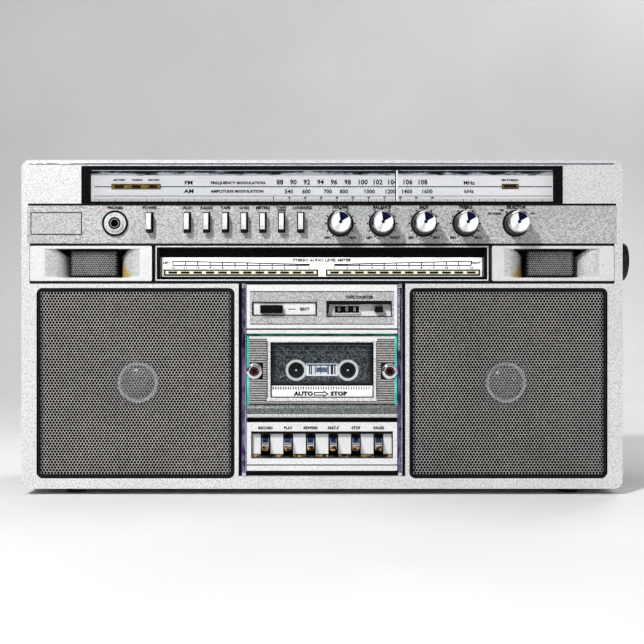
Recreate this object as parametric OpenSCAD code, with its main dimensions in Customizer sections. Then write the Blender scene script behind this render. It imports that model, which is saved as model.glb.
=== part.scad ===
// Stereo radio cassette recorder (boombox): an assembly of separate pieces.
// Front faces -Y, +X is to the right seen from the front, +Z is up.
// The origin is on the floor under the middle of the case.

/* [Case] */
// Width of the plastic case
body_w = 490; // [484:1:496]
// Height of the top edge above the floor
body_top = 273; // [272:0.5:276]
// Height of the case's underside above the floor (height of the feet)
foot_h = 5; // [3:0.5:6]
// Plane of the front face
front_y = -58; // [-58:1:-58]
// Plane of the rear face
rear_y = 74; // [74:1:78]
// Plane where the front and rear shells meet
seam_y = -8; // [-10:1:-6]
// Wall thickness of the shells
wall = 3.2; // [2.6:0.1:3.6]
// Radius of the case corners
corner_r = 7; // [5:0.5:9]

/* [Tuner dial] */
// Half width of the dial opening
dial_hw = 196; // [194:0.5:197]
// Pointer position at rest, from the middle
pointer_x = 61.5; // [-30:0.5:80]

/* [Controls] */
// Diameter of the rotary knobs
knob_d = 18.8; // [16:0.2:20]
// How far the rotary knobs stand out of the front
knob_h = 16; // [12:0.5:16]
// Width of the upright push keys
key_w = 4.5; // [4:0.1:5]
// Height of the upright push keys
key_h = 15.2; // [14:0.2:16]
// How far the push keys stand out
key_out = 6.5; // [5:0.5:8]

/* [Speakers] */
// Distance of the woofers from the middle
woofer_x = 152; // [150:0.5:153]
// Radius of the woofer opening
woofer_r = 71; // [66:1:73]
// Distance of the tweeters from the middle
tweeter_x = 187.3; // [186:0.1:188]

/* [Cassette deck] */
// Spacing of the reel spindles (standard cassette)
hub_pitch = 42.5; // [42.5:0.1:42.5]
// Height of the reel spindles
hub_z = 101.3; // [101.3:0.1:101.3]
// Spacing of the transport keys
deck_key_pitch = 18.45; // [18:0.05:18.8]

/* [Handle and antenna] */
// Length of the handle's arms, pivot to grip
handle_len = 84; // [84:0.5:84]
// Radius of the handle's grip
grip_r = 11; // [9:0.5:11]
// Length of the antenna's outer tube
mast_len = 170; // [120:5:200]

/* [Hidden] */
$fn = 48;
hw = body_w / 2;
e = 0.1;
btm = foot_h;
key_z = 222.1;
knob_z = 221.3;
knob_x = [14.9, 49, 83.1, 117, 158];
key_x = [-140.4, -109.8, -94, -78.7, -63.4, -48.2, -33, -17.3];
jack_x = -168.6;
deck_key_x = [for (i = [-2.5 : 1 : 2.5]) i * deck_key_pitch];
door_y = -51; door_z = 66.5;
cap_x = 24; cap_z = 73.2;
piv_y = -20; piv_z = 240; grip_dy = 82.8; grip_dz = 14;
ant_x = 215; ant_y = 28; ant_z = 280;

// ---- helpers: plates upright in X-Z, round bars along each axis ----
module rrect(x0, x1, z0, z1, r = 0) {
  if (r <= 0) translate([x0, z0]) square([x1 - x0, z1 - z0]);
  else union() {
    translate([x0 + r, z0]) square([x1 - x0 - 2 * r, z1 - z0]);
    translate([x0, z0 + r]) square([x1 - x0, z1 - z0 - 2 * r]);
    for (x = [x0 + r, x1 - r], z = [z0 + r, z1 - r]) translate([x, z]) circle(r);
  }
}
module plate(x0, x1, z0, z1, y0, y1, r = 0)
  translate([0, y1, 0]) rotate([90, 0, 0]) linear_extrude(y1 - y0) rrect(x0, x1, z0, z1, r);
module ycyl(x, z, y0, y1, r, r2 = -1)
  translate([x, y1, z]) rotate([90, 0, 0]) cylinder(h = y1 - y0, r1 = r, r2 = r2 < 0 ? r : r2);
module xcyl(y, z, x0, x1, r, r2 = -1)
  translate([x0, y, z]) rotate([0, 90, 0]) cylinder(h = x1 - x0, r1 = r, r2 = r2 < 0 ? r : r2);
module zcyl(x, y, z0, z1, r, r2 = -1)
  translate([x, y, z0]) cylinder(h = z1 - z0, r1 = r, r2 = r2 < 0 ? r : r2);
module bar(x0, x1, y0, y1, z0, z1) translate([x0, y0, z0]) cube([x1 - x0, y1 - y0, z1 - z0]);
module both() { children(); mirror([1, 0, 0]) children(); }
// side profile (Y, Z points) swept along X
module profile(x0, x1, pts) translate([x0, 0, 0]) rotate([90, 0, 90]) linear_extrude(x1 - x0) polygon(pts);

boss_pos = [[236, 17], [236, 212]];
top_boss = [66, 265.6];

// ---- case ----
module front_cabinet() color("gainsboro") {
  difference() {
    union() {
      difference() {
        plate(-hw, hw, btm, body_top, front_y, seam_y, corner_r);
        plate(-hw + wall, hw - wall, btm + wall, body_top - wall, front_y + 5, seam_y + e, corner_r - wall + 0.6);
      }
      // collar round the cassette deck
      difference() {
        plate(-70.5, 70.5, btm + 1, 173, front_y + 4, -34);
        plate(-68, 68, 15.2, 180, front_y, -33);
      }
      both() {
        for (p = boss_pos) ycyl(p[0], p[1], front_y + 4, seam_y, 4.4);
        ycyl(top_boss[0], top_boss[1], -30, seam_y, 4.4);
      }
    }
    plate(-dial_hw - 0.2, dial_hw + 0.2, 237.4, 268.2, front_y - 1, front_y + 6);
    plate(-240, 240, 204.8, 236.2, front_y - 1, front_y + 1.7, 1);
    plate(-182, -8, 210, 233, front_y - 1, front_y + 6);
    plate(2, 171, 210, 232, front_y - 1, front_y + 6);
    plate(-238.4, 238.4, 172.6, 203.4, front_y - 1, front_y + 6);
    plate(-68, 68, 15.2, 173, front_y - 1, front_y + 6);
    both() {
      plate(71.3, 232.7, 13.5, 168.7, front_y - 1, front_y + 3, 5);
      ycyl(woofer_x, 91.1, front_y + 2, front_y + 6, woofer_r);
      xcyl(piv_y, piv_z, hw - wall - 1, hw + 1, 3.1);
      for (p = boss_pos) ycyl(p[0], p[1], front_y + 8, seam_y + e, 1.5);
      ycyl(top_boss[0], top_boss[1], -28, seam_y + e, 1.5);
    }
    xcyl(-32, 192, hw - wall - 1, hw + 1, 4.2);
  }
}

module rear_cabinet() color("dimgray") {
  difference() {
    union() {
      difference() {
        difference() {
          plate(-hw, hw, btm, body_top, seam_y, rear_y, corner_r);
          bar(-hw - 1, hw + 1, 44, rear_y + 1, 238, body_top + 1);
        }
        difference() {
          plate(-hw + wall, hw - wall, btm + wall, body_top - wall, seam_y - e, rear_y - wall, corner_r - wall + 0.6);
          bar(-hw, hw, 44 - wall, rear_y, 238 - wall, body_top);
        }
      }
      // battery box
      difference() {
        plate(-134, 134, btm + 2, 90, 33, rear_y - 2);
        plate(-131, 131, 12, 87.5, 35.5, rear_y);
      }
      both() for (p = boss_pos) ycyl(p[0], p[1], seam_y, rear_y - 1, 4.4);
      both() ycyl(top_boss[0], top_boss[1], seam_y, 42, 4.4);
    }
    plate(-130.4, 130.4, 15, 86.8, rear_y - 5, rear_y + 1);
    plate(149.8, 225.2, 119.8, 170.2, rear_y - 5, rear_y + 1);
    both() {
      for (p = boss_pos) {
        ycyl(p[0], p[1], seam_y - e, rear_y + 1, 1.7);
        ycyl(p[0], p[1], rear_y - 2.6, rear_y + 1, 3.4);
      }
      ycyl(top_boss[0], top_boss[1], seam_y - e, 45, 1.7);
      ycyl(top_boss[0], top_boss[1], 41.4, 45, 3.4);
      xcyl(rear_y - 1.5, 16.9, 130, 133, 0.96);
      for (i = [0 : 6]) plate(30, 104, 182 + i * 7, 185 + i * 7, rear_y - 5, rear_y + 1);
    }
    zcyl(ant_x, ant_y, body_top - wall - 1, body_top + 1, 4.06);
  }
}

// ---- tuner dial ----
module dial_bezel() color("black") difference() {
  plate(-dial_hw, dial_hw, 237.6, 268, front_y - 0.5, front_y + 4.6, 1.2);
  plate(-188.4, 188.4, 239.2, 264.8, front_y - 1, front_y + 5, 0.8);
  plate(-190, 190, 238.6, 265.6, front_y + 1.2, front_y + 5, 0.8);
}
module dial_window() color([0.8, 0.9, 1, 0.3]) plate(-189.8, 189.8, 238.8, 265.4, front_y + 1.2, front_y + 2.8, 0.8);
module scale_plates() color("whitesmoke") {
  plate(-195, 195, 236.8, 264.2, -48, -46.5);
  plate(-131.2, 131.2, 178.1, 193.8, -53.7, -52.6);
  // guide rail of the dial pointer
  xcyl(-42.5, 266, -192, 192, 1.2);
}
module dial_pointer() color("crimson") difference() {
  union() {
    bar(pointer_x - 0.8, pointer_x + 0.8, -52.6, -51.4, 239.6, 266.4);
    bar(pointer_x - 0.8, pointer_x + 0.8, -52.6, -42, 265.2, 266.4);
    bar(pointer_x - 4, pointer_x + 4, -44.6, -40.4, 263.9, 268.1);
  }
  xcyl(-42.5, 266, pointer_x - 5, pointer_x + 5, 1.26);
}
module indicator_leds() color("goldenrod") {
  bar(-173.1, -133.1, -49.2, -48, 250.5, 254.6);
  bar(148.8, 161.5, -49.2, -48, 250.8, 254.7);
  for (x = [-167, -153.2, -139.2, 155.2]) bar(x - 3.6, x + 3.6, -49.6, -49.2, 251.6, 253.6);
  both() {
    bar(3.8, 128.8, -54.3, -53.7, 179.5, 183.4);
    for (i = [0 : 11]) bar(10.3 + i * 10.17 - 3.35, 10.3 + i * 10.17 + 3.35, -54.6, -54.3, 180.9, 182.1);
  }
}

// ---- control row ----
module control_panel() color("silver") difference() {
  plate(-239.8, 239.8, 205, 236, front_y + 0.1, front_y + 1.6, 0.8);
  for (x = key_x) plate(x - key_w / 2 - 0.35, x + key_w / 2 + 0.35, key_z - key_h / 2 - 0.35, key_z + key_h / 2 + 0.35, front_y - 1, front_y + 3);
  for (x = knob_x) ycyl(x, knob_z, front_y - 1, front_y + 3, 4.1);
  ycyl(jack_x, knob_z, front_y - 1, front_y + 3, 4.9);
}
module phones_jack() color("silver") difference() {
  union() {
    ycyl(jack_x, knob_z, front_y - 1, front_y + 0.1, 10.3, 10.3);
    ycyl(jack_x, knob_z, front_y - 2.6, front_y - 1, 6.2);
    ycyl(jack_x, knob_z, front_y - 1, -30, 4.7);
    plate(jack_x - 7, jack_x + 7, knob_z - 7, knob_z + 7, -50, -28);
  }
  ycyl(jack_x, knob_z, front_y - 3, -30, 3.2);
}
module push_key(i) color("whitesmoke") union() {
  plate(key_x[i] - key_w / 2, key_x[i] + key_w / 2, key_z - key_h / 2, key_z + key_h / 2, front_y - key_out, -51.4, 0.5);
  plate(key_x[i] - 1.2, key_x[i] + 1.2, key_z - 3, key_z + 3, -52, -48.4);
}
module power_key() push_key(0);
module aux_key() push_key(1);
module radio_key() push_key(2);
module tape_key() push_key(3);
module chrome_tape_key() push_key(4);
module meters_key() push_key(5);
module stereo_wide_key() push_key(6);
module loudness_key() push_key(7);

module rotary_knob(i, d) color("lightgray") union() {
  ycyl(knob_x[i], knob_z, front_y - knob_h + 1.2, front_y - 2.2, d / 2, d / 2 - 0.5);
  ycyl(knob_x[i], knob_z, front_y - knob_h, front_y - knob_h + 1.2, d / 2 - 0.4, d / 2 - 1.4);
  ycyl(knob_x[i], knob_z, front_y - 2.2, front_y - 0.6, d / 2 + 0.4);
  ycyl(knob_x[i], knob_z, front_y - 1, -44, 3);
}
module volume_knob() rotary_knob(0, knob_d);
module balance_knob() rotary_knob(1, knob_d);
module bass_knob() rotary_knob(2, knob_d);
module treble_knob() rotary_knob(3, knob_d);
module selector_knob() rotary_knob(4, knob_d);

// ---- level meter and tweeters ----
module meter_bezel() color("black") difference() {
  plate(-135.8, 135.8, 174.4, 203, front_y - 0.3, -50, 1.2);
  plate(-131.8, 131.8, 176.7, 201, front_y - 1, -52.6, 0.6);
}
module tweeter_horns() color("gainsboro") both() union() {
  difference() {
    plate(138.7, 238, 174.4, 203, front_y - 0.1, -38, 1.2);
    plate(146.7, 227.9, 177.1, 200.7, front_y - 1, -37);
  }
  intersection() {
    union() {
      zcyl(146.7, -38, 176, 202, 20);
      zcyl(227.9, -38, 176, 202, 20);
    }
    bar(143, 231.5, front_y, -38, 176.5, 201.3);
  }
}

module speaker_grilles() color("darkgray") both() {
  plate(71.8, 232.2, 14, 168.2, front_y + 0.4, front_y + 3, 4.5);
  difference() {
    plate(tweeter_x - 19.6, tweeter_x + 19.6, 178, 199.8, front_y + 5, -40, 0.8);
    plate(tweeter_x - 18.4, tweeter_x + 18.4, 179.2, 198.6, front_y + 6.2, -39);
  }
}
module speaker_drivers() color("dimgray") both() {
  // woofer: frame ring, cone and dust cap, basket, magnet
  difference() {
    union() {
      ycyl(woofer_x, 91.1, -53, -50, 77);
      ycyl(woofer_x, 91.1, -50, -22, 40, 74);
      ycyl(woofer_x, 91.1, -22, -4, 45);
    }
    ycyl(woofer_x, 91.1, -54, -24, 22, 67);
  }
  translate([woofer_x, -30, 91.1]) rotate([90, 0, 0]) intersection() { sphere(r = 21); translate([0, 0, 5]) cylinder(h = 30, r = 15.7); }
  ycyl(woofer_x, 91.1, -28, -23.9, 15);
  // tweeter
  ycyl(tweeter_x, 188.9, -48, -30, 9.4);
  ycyl(tweeter_x, 188.9, -30, -18, 15);
}

// ---- cassette deck ----
module deck_rails() color("steelblue") both() {
  plate(62, 65.4, 16, 167.4, front_y + 0.4, front_y + 3, 0.4);
  plate(62, 65.4, 167.8, 171.4, front_y, front_y + 4, 0.4);
}
module deck_top_panel() color("silver") difference() {
  union() {
    plate(-61.3, 61.3, 132.3, 171.5, front_y, front_y + 3, 0.6);
    plate(3, 57.5, 144.4, 158.9, front_y + 2, -51.8);
  }
  plate(-56.6, -4.6, 146.5, 157, front_y - 1, front_y + 0.9);
  plate(-50.4, -31.9, 148.1, 154.7, front_y - 1, front_y + 4);
  plate(4.1, 56.4, 145.6, 157.7, front_y - 1, -53);
  plate(10.6, 30.3, 148.4, 154.2, front_y - 1, -51);
  plate(43.2, 50, 148.9, 153.7, front_y - 1, -51);
  plate(-58.5, 58.5, 135.2, 135.8, front_y - 1, front_y + 1);
}
module eject_button() color("black") union() {
  plate(-50.1, -32.2, 148.4, 154.4, front_y - 3.6, -53.5, 0.4);
  plate(-44, -38.4, 149.8, 153, -54, -47);
}
module counter_reset_button() color("black") union() {
  plate(43.5, 49.7, 149.2, 153.4, -58.2, -51, 0.3);
  plate(45, 48.2, 150, 152.6, -51.2, -47.6);
}
module counter_wheel(x) difference() {
  xcyl(-43.2, 151.3, x - 2.9, x + 2.9, 8.3);
  xcyl(-43.2, 151.3, x - 4, x + 4, 1.28);
}
module counter_units_wheel() color("black") counter_wheel(26.8);
module counter_slow_wheels() color("black") { counter_wheel(14); counter_wheel(20.4); }

module key_panel() color("silver") difference() {
  union() {
    plate(-61.3, 61.3, 19.7, 58.4, front_y, front_y + 3, 0.6);
    plate(-58.6, 58.6, 28.9, 52.8, front_y + 2, -49.5);
  }
  plate(-57, 57, 30.5, 51.2, front_y - 1, -51);
  for (x = deck_key_x) plate(x - 4.1, x + 4.1, 30.5, 51.2, -52, -49);
  plate(-62, 62, 24.1, 24.7, front_y - 1, front_y + 1.2);
}
module deck_key(i) color("silver") difference() {
  union() {
    profile(deck_key_x[i] - 2.9, deck_key_x[i] + 2.9,
      [[-12.4, 36.6], [-12.4, 43.4], [-46, 43.8], [-49, 47.6], [-55, 47.9], [-62.4, 42.2], [-62.7, 41.2], [-62.2, 40.4], [-57.4, 36.7], [-46, 36.4]]);
  }
  xcyl(-16, 40, deck_key_x[i] - 4, deck_key_x[i] + 4, 2.05);
}
module record_key() deck_key(0);
module play_key() deck_key(1);
module rewind_key() deck_key(2);
module fast_forward_key() deck_key(3);
module stop_key() deck_key(4);
module pause_key() deck_key(5);

module cassette_door() color("gray") {
  difference() {
    union() {
      plate(-61.2, 61.2, 64, 131.2, front_y - 0.6, front_y + 3.6, 1.4);
      plate(-44, 44, 76.6, 125.4, front_y - 1.4, front_y + 0.4, 0.8);
      // rounded lip along the bottom
      xcyl(front_y + 0.4, 69, -60.6, 60.6, 3.2);
      both() {
        ycyl(55.2, 100.9, front_y - 3.4, front_y, 6.9, 6.2);
        // side guides that hold the cassette
        bar(50.7, 54, front_y + 3, -39.4, 64.2, 118);
        bar(47, 54, -41.3, -39.4, 90, 118);
        bar(38, 54, front_y + 3, -38.9, 64.2, 66.3);
        // stub pins of the hinge
        xcyl(door_y, door_z, 53, 64, 1.9);
      }
    }
    plate(-41.6, 41.6, 79.4, 124.2, front_y - 2, front_y + 5, 0.6);
    plate(-42.6, 42.6, 78.4, 125.2, front_y + 1.4, front_y + 5, 0.6);
    both() ycyl(55.2, 100.9, front_y - 4, front_y - 1.6, 3.5);
  }
}
module door_window() color([0.75, 0.8, 0.85, 0.35]) plate(-42.4, 42.4, 78.6, 125, front_y + 1.4, front_y + 3.2, 0.6);

module cassette_shell() color("darkslategray") difference() {
  union() {
    plate(-50.1, 50.1, 66.5, 130.3, -50.5, -41.7, 2);
    translate([0, -40.1, 0]) rotate([90, 0, 0]) linear_extrude(12) polygon([[-33.5, 66.5], [33.5, 66.5], [30, 83.4], [-30, 83.4]]);
  }
  plate(-46.5, 46.5, 77.6, 127.4, -49.6, -42.6);
  both() ycyl(hub_pitch / 2, hub_z, -51, -41, 5.7);
  plate(-12, 12, 97.2, 105.6, -51, -41);
  plate(-9, 9, 66, 72.8, -53, -39);
  plate(-26.5, -13.5, 66, 72.8, -53, -39);
  plate(17, 31, 66, 75.4, -53, -39);
}
module reel(x, r) {
  color("white") difference() {
    union() {
      ycyl(x, hub_z, -49.2, -43, 10.7);
      ycyl(x, hub_z, -50.2, -42, 5.62);
    }
    difference() {
      ycyl(x, hub_z, -52, -40, 5.1);
      for (a = [0 : 60 : 300]) translate([x, 0, hub_z]) rotate([0, a, 0]) bar(4.05, 6, -52, -40, -0.7, 0.7);
    }
  }
  color("saddlebrown") difference() {
    ycyl(x, hub_z, -48, -44.2, r);
    ycyl(x, hub_z, -50, -42, 10.72);
  }
}
module supply_reel() reel(-hub_pitch / 2, 23);
module takeup_reel() reel(hub_pitch / 2, 16);
module spindle(x) color("ghostwhite") union() {
  ycyl(x, hub_z, -40.7, -38.7, 11);
  ycyl(x, hub_z, -47, -40, 2.8);
  ycyl(x, hub_z, -50, -47, 2.8, 1.4);
  ycyl(x, hub_z, -39, -32.8, 3);
  for (a = [30, 150, 270]) translate([x, 0, hub_z]) rotate([0, a, 0]) bar(2, 4.25, -45.8, -43, -0.4, 0.4);
}
module supply_spindle() spindle(-hub_pitch / 2);
module takeup_spindle() spindle(hub_pitch / 2);
module capstan_flywheel() color("lightgray") union() {
  ycyl(cap_x, cap_z, -50.9, -26, 1.1);
  difference() {
    ycyl(cap_x, cap_z, -32, -26, 22);
    difference() { ycyl(cap_x, cap_z, -28, -25, 17); ycyl(cap_x, cap_z, -29, -24, 6); }
  }
}
module head_carriage() color("silver") {
  union() {
    plate(-36, 36, 53, 58.5, -42, -39);
    plate(-7, 7, 54, 64, -50, -39);
    plate(-24.5, -15.5, 54, 63.6, -49.4, -39);
    plate(18.5, 29.5, 53, 64.4, -42, -39);
    ycyl(cap_x, 60, -50, -41, 1.5);
  }
  // pinch roller
  difference() {
    ycyl(cap_x, 60, -49.3, -42.3, 6);
    ycyl(cap_x, 60, -51, -40, 1.56);
  }
}
module tape_mechanism() color("lightslategray") {
  difference() {
    union() {
      plate(-60.4, 60.4, 46, 130, -37, -35);
      both() {
        bar(57.4, 60.4, -37, -10.5, 34, 60);
        bar(61.5, 64.4, -54, -35, 58, 75);
        bar(60, 64.4, -37, -35, 58, 75);
      }
      // bracket of the tape counter
      for (x = [7.6, 31.4]) {
        bar(x, x + 2, -38.4, -35, 122, 154);
        bar(x, x + 2, -45.4, -35, 146, 154);
      }
    }
    both() {
      xcyl(door_y, door_z, 60, 66, 1.96);
      ycyl(hub_pitch / 2, hub_z, -38, -34, 3.06);
    }
    ycyl(cap_x, cap_z, -38, -34, 1.18);
  }
  // shaft of the transport keys
  xcyl(-16, 40, -57.4, 57.4, 2);
  // axle of the counter wheels
  xcyl(-43.2, 151.3, 9.6, 31.4, 1.22);
  // motor with its pulley
  union() {
    ycyl(-30, 72, -24, 6, 15);
    ycyl(-30, 72, -32, -23, 4.5);
  }
  // drive belt
  translate([0, -28, 0]) rotate([90, 0, 0]) linear_extrude(2) difference() {
    hull() { translate([cap_x, cap_z]) circle(23.4); translate([-30, 72]) circle(5.9); }
    hull() { translate([cap_x, cap_z]) circle(22.3); translate([-30, 72]) circle(4.8); }
  }
}

// ---- sides and top ----
module tuning_knob() color("lightgray") union() {
  xcyl(-32, 192, hw + 0.8, hw + 7.4, 17);
  xcyl(-32, 192, hw + 7.4, hw + 8.6, 17, 15.8);
  xcyl(-32, 192, hw - 22, hw + 1, 3.2);
}
module handle() color("dimgray") {
  xcyl(piv_y + grip_dy, piv_z + grip_dz, -hw - 0.8, hw + 0.8, grip_r);
  both() difference() {
    union() {
      xcyl(piv_y, piv_z, hw + 0.8, hw + 7.4, 12);
      xcyl(piv_y + grip_dy, piv_z + grip_dz, hw + 0.8, hw + 7.4, grip_r);
      profile(hw + 0.8, hw + 7.4, [[piv_y + 1.6, piv_z - 9], [piv_y + grip_dy + 1.4, piv_z + grip_dz - 9], [piv_y + grip_dy - 1.4, piv_z + grip_dz + 9], [piv_y - 1.6, piv_z + 9]]);
    }
    xcyl(piv_y, piv_z, hw, hw + 9, 3.08);
  }
}
module antenna_mount() color("silver") {
  difference() {
    union() {
      zcyl(ant_x, ant_y, body_top - wall - 4, body_top + 1, 4);
      zcyl(ant_x, ant_y, body_top + 0.1, body_top + 2.6, 8);
      for (s = [-1, 1]) bar(ant_x - 5, ant_x + 5, ant_y + s * 4.5 - 1.1, ant_y + s * 4.5 + 1.1, body_top + 2, ant_z + 4);
    }
    ycyl(ant_x, ant_z, ant_y - 7, ant_y + 7, 1.2);
  }
  ycyl(ant_x, ant_z, ant_y - 5.6, ant_y + 5.6, 1.2);
}
module antenna_tube() color("silver") difference() {
  union() {
    xcyl(ant_y, ant_z, ant_x - mast_len, ant_x - 3, 3.2);
    ycyl(ant_x, ant_z, ant_y - 3, ant_y + 3, 3.6);
  }
  ycyl(ant_x, ant_z, ant_y - 5, ant_y + 5, 1.25);
  xcyl(ant_y, ant_z, ant_x - mast_len - 1, ant_x - 8, 2.5);
}
module antenna_rod() color("silver") union() {
  xcyl(ant_y, ant_z, ant_x - mast_len - 2, ant_x - 10, 2.44);
  xcyl(ant_y, ant_z, ant_x - mast_len - 8, ant_x - mast_len - 1, 3.6);
}
module battery_door() color("dimgray") union() {
  plate(-130, 130, 16.9, 86.4, rear_y - 3, rear_y);
  xcyl(rear_y - 1.5, 16.9, -130, 130, 1.5);
  xcyl(rear_y - 1.5, 16.9, -132.5, 132.5, 0.9);
  both() plate(40, 64, 66, 84, rear_y - 5, rear_y - 2);
}
module batteries() color("goldenrod") for (z = [29.4, 64], i = [-2 : 1]) union() {
  xcyl(52.4, z, i * 62.5 + 0.8, i * 62.5 + 60, 16.3);
  xcyl(52.4, z, i * 62.5 + 59, i * 62.5 + 61.6, 4.6);
}
module circuit_boards() color("darkgreen") {
  plate(-155, 175, 208, 235, -37.6, -36);
  // potentiometers with their shafts' bushings
  for (x = knob_x) difference() {
    ycyl(x, knob_z, -54.5, -37.6, 8);
    ycyl(x, knob_z, -60, -42, 3.07);
  }
  // key switches
  for (x = key_x) plate(x - 3, x + 3, key_z - 5, key_z + 5, -44.6, -37.6);
  // amplifier board, heat sink and mains transformer
  plate(-190, 60, 150, 205, 6, 7.6);
  bar(-100, -40, 7.6, 30, 160, 200);
  plate(-180, -130, 150, 190, 14, 52);
  // ferrite aerial rod
  xcyl(52, 215, -110, 60, 5);
}
module rear_sockets() color("black") {
  difference() {
    plate(150, 225, 120, 170, 60, rear_y - 0.4, 1);
    plate(152, 223, 122, 168, 62.5, rear_y + 1);
    plate(196, 216, 128, 138, 59, 63);
  }
  for (x = [164, 182], z = [134, 156]) difference() {
    ycyl(x, z, 62.5, 72, 4.15);
    ycyl(x, z, 64, 73, 1.7);
  }
}
module rubber_feet() color("black") for (x = [-205, 205], y = [-38, 54]) zcyl(x, y, 0, foot_h, 8, 9.5);
module screws() color("silver") both() {
  for (p = boss_pos) {
    ycyl(p[0], p[1], -20, rear_y - 2.6, 1.45);
    ycyl(p[0], p[1], rear_y - 2.6, rear_y - 0.6, 3.1);
  }
  ycyl(top_boss[0], top_boss[1], -24, 41.4, 1.45);
  ycyl(top_boss[0], top_boss[1], 41.4, 43.4, 3.1);
  xcyl(piv_y, piv_z, hw - wall - 2, hw + 7.8, 3);
  xcyl(piv_y, piv_z, hw + 7.8, hw + 10, 6, 5);
}

front_cabinet();
rear_cabinet();
dial_bezel();
scale_plates();
dial_window();
dial_pointer();
indicator_leds();
control_panel();
phones_jack();
power_key();
aux_key();
radio_key();
tape_key();
chrome_tape_key();
meters_key();
stereo_wide_key();
loudness_key();
volume_knob();
balance_knob();
bass_knob();
treble_knob();
selector_knob();
meter_bezel();
tweeter_horns();
speaker_grilles();
speaker_drivers();
deck_rails();
deck_top_panel();
eject_button();
counter_units_wheel();
counter_slow_wheels();
counter_reset_button();
key_panel();
record_key();
play_key();
rewind_key();
fast_forward_key();
stop_key();
pause_key();
cassette_door();
door_window();
cassette_shell();
supply_reel();
takeup_reel();
supply_spindle();
takeup_spindle();
capstan_flywheel();
head_carriage();
tape_mechanism();
tuning_knob();
handle();
antenna_mount();
antenna_tube();
antenna_rod();
battery_door();
batteries();
circuit_boards();
rear_sockets();
rubber_feet();
screws();
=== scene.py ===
import bpy
import math
import random
from mathutils import Matrix, Vector


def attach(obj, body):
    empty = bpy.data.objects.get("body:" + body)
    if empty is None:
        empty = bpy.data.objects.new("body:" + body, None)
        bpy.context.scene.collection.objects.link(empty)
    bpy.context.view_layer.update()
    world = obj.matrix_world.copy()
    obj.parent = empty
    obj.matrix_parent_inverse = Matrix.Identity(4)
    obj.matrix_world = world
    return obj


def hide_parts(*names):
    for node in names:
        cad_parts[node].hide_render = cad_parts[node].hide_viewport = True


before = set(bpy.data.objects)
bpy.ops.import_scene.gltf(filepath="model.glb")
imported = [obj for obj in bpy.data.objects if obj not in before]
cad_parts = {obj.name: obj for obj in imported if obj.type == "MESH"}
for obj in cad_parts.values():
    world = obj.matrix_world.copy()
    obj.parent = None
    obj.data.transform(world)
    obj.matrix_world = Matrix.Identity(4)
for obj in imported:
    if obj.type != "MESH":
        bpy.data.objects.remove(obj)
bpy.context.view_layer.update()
random.seed(7)
MM = 0.001
YF = -58.0
SC = bpy.context.scene

# ------------------------------------------------------------------ materials


def _nodes(m):
    m.use_nodes = True
    nt = m.node_tree
    nt.nodes.clear()
    out = nt.nodes.new("ShaderNodeOutputMaterial")
    b = nt.nodes.new("ShaderNodeBsdfPrincipled")
    nt.links.new(b.outputs[0], out.inputs[0])
    return nt, b, out


def _noise(nt, co, scale, detail=3.0, rough=0.55, stretch=(1, 1, 1)):
    mp = nt.nodes.new("ShaderNodeMapping")
    mp.inputs["Scale"].default_value = stretch
    nt.links.new(co, mp.inputs["Vector"])
    n = nt.nodes.new("ShaderNodeTexNoise")
    n.inputs["Scale"].default_value = scale
    n.inputs["Detail"].default_value = detail
    n.inputs["Roughness"].default_value = rough
    nt.links.new(mp.outputs[0], n.inputs["Vector"])
    return n.outputs["Fac"]


def _range(nt, fac, a, b, lo=0.3, hi=0.7):
    r = nt.nodes.new("ShaderNodeMapRange")
    r.inputs["From Min"].default_value = lo
    r.inputs["From Max"].default_value = hi
    r.inputs["To Min"].default_value = a
    r.inputs["To Max"].default_value = b
    nt.links.new(fac, r.inputs["Value"])
    return r.outputs[0]


def _mix(nt, fac, c1, c2):
    m = nt.nodes.new("ShaderNodeMix")
    m.data_type = "RGBA"
    for s, v in ((m.inputs[6], c1), (m.inputs[7], c2)):
        if hasattr(v, "is_output"):
            nt.links.new(v, s)
        else:
            s.default_value = (*v, 1)
    if hasattr(fac, "is_output"):
        nt.links.new(fac, m.inputs[0])
    else:
        m.inputs[0].default_value = fac
    return m.outputs[2]


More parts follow.
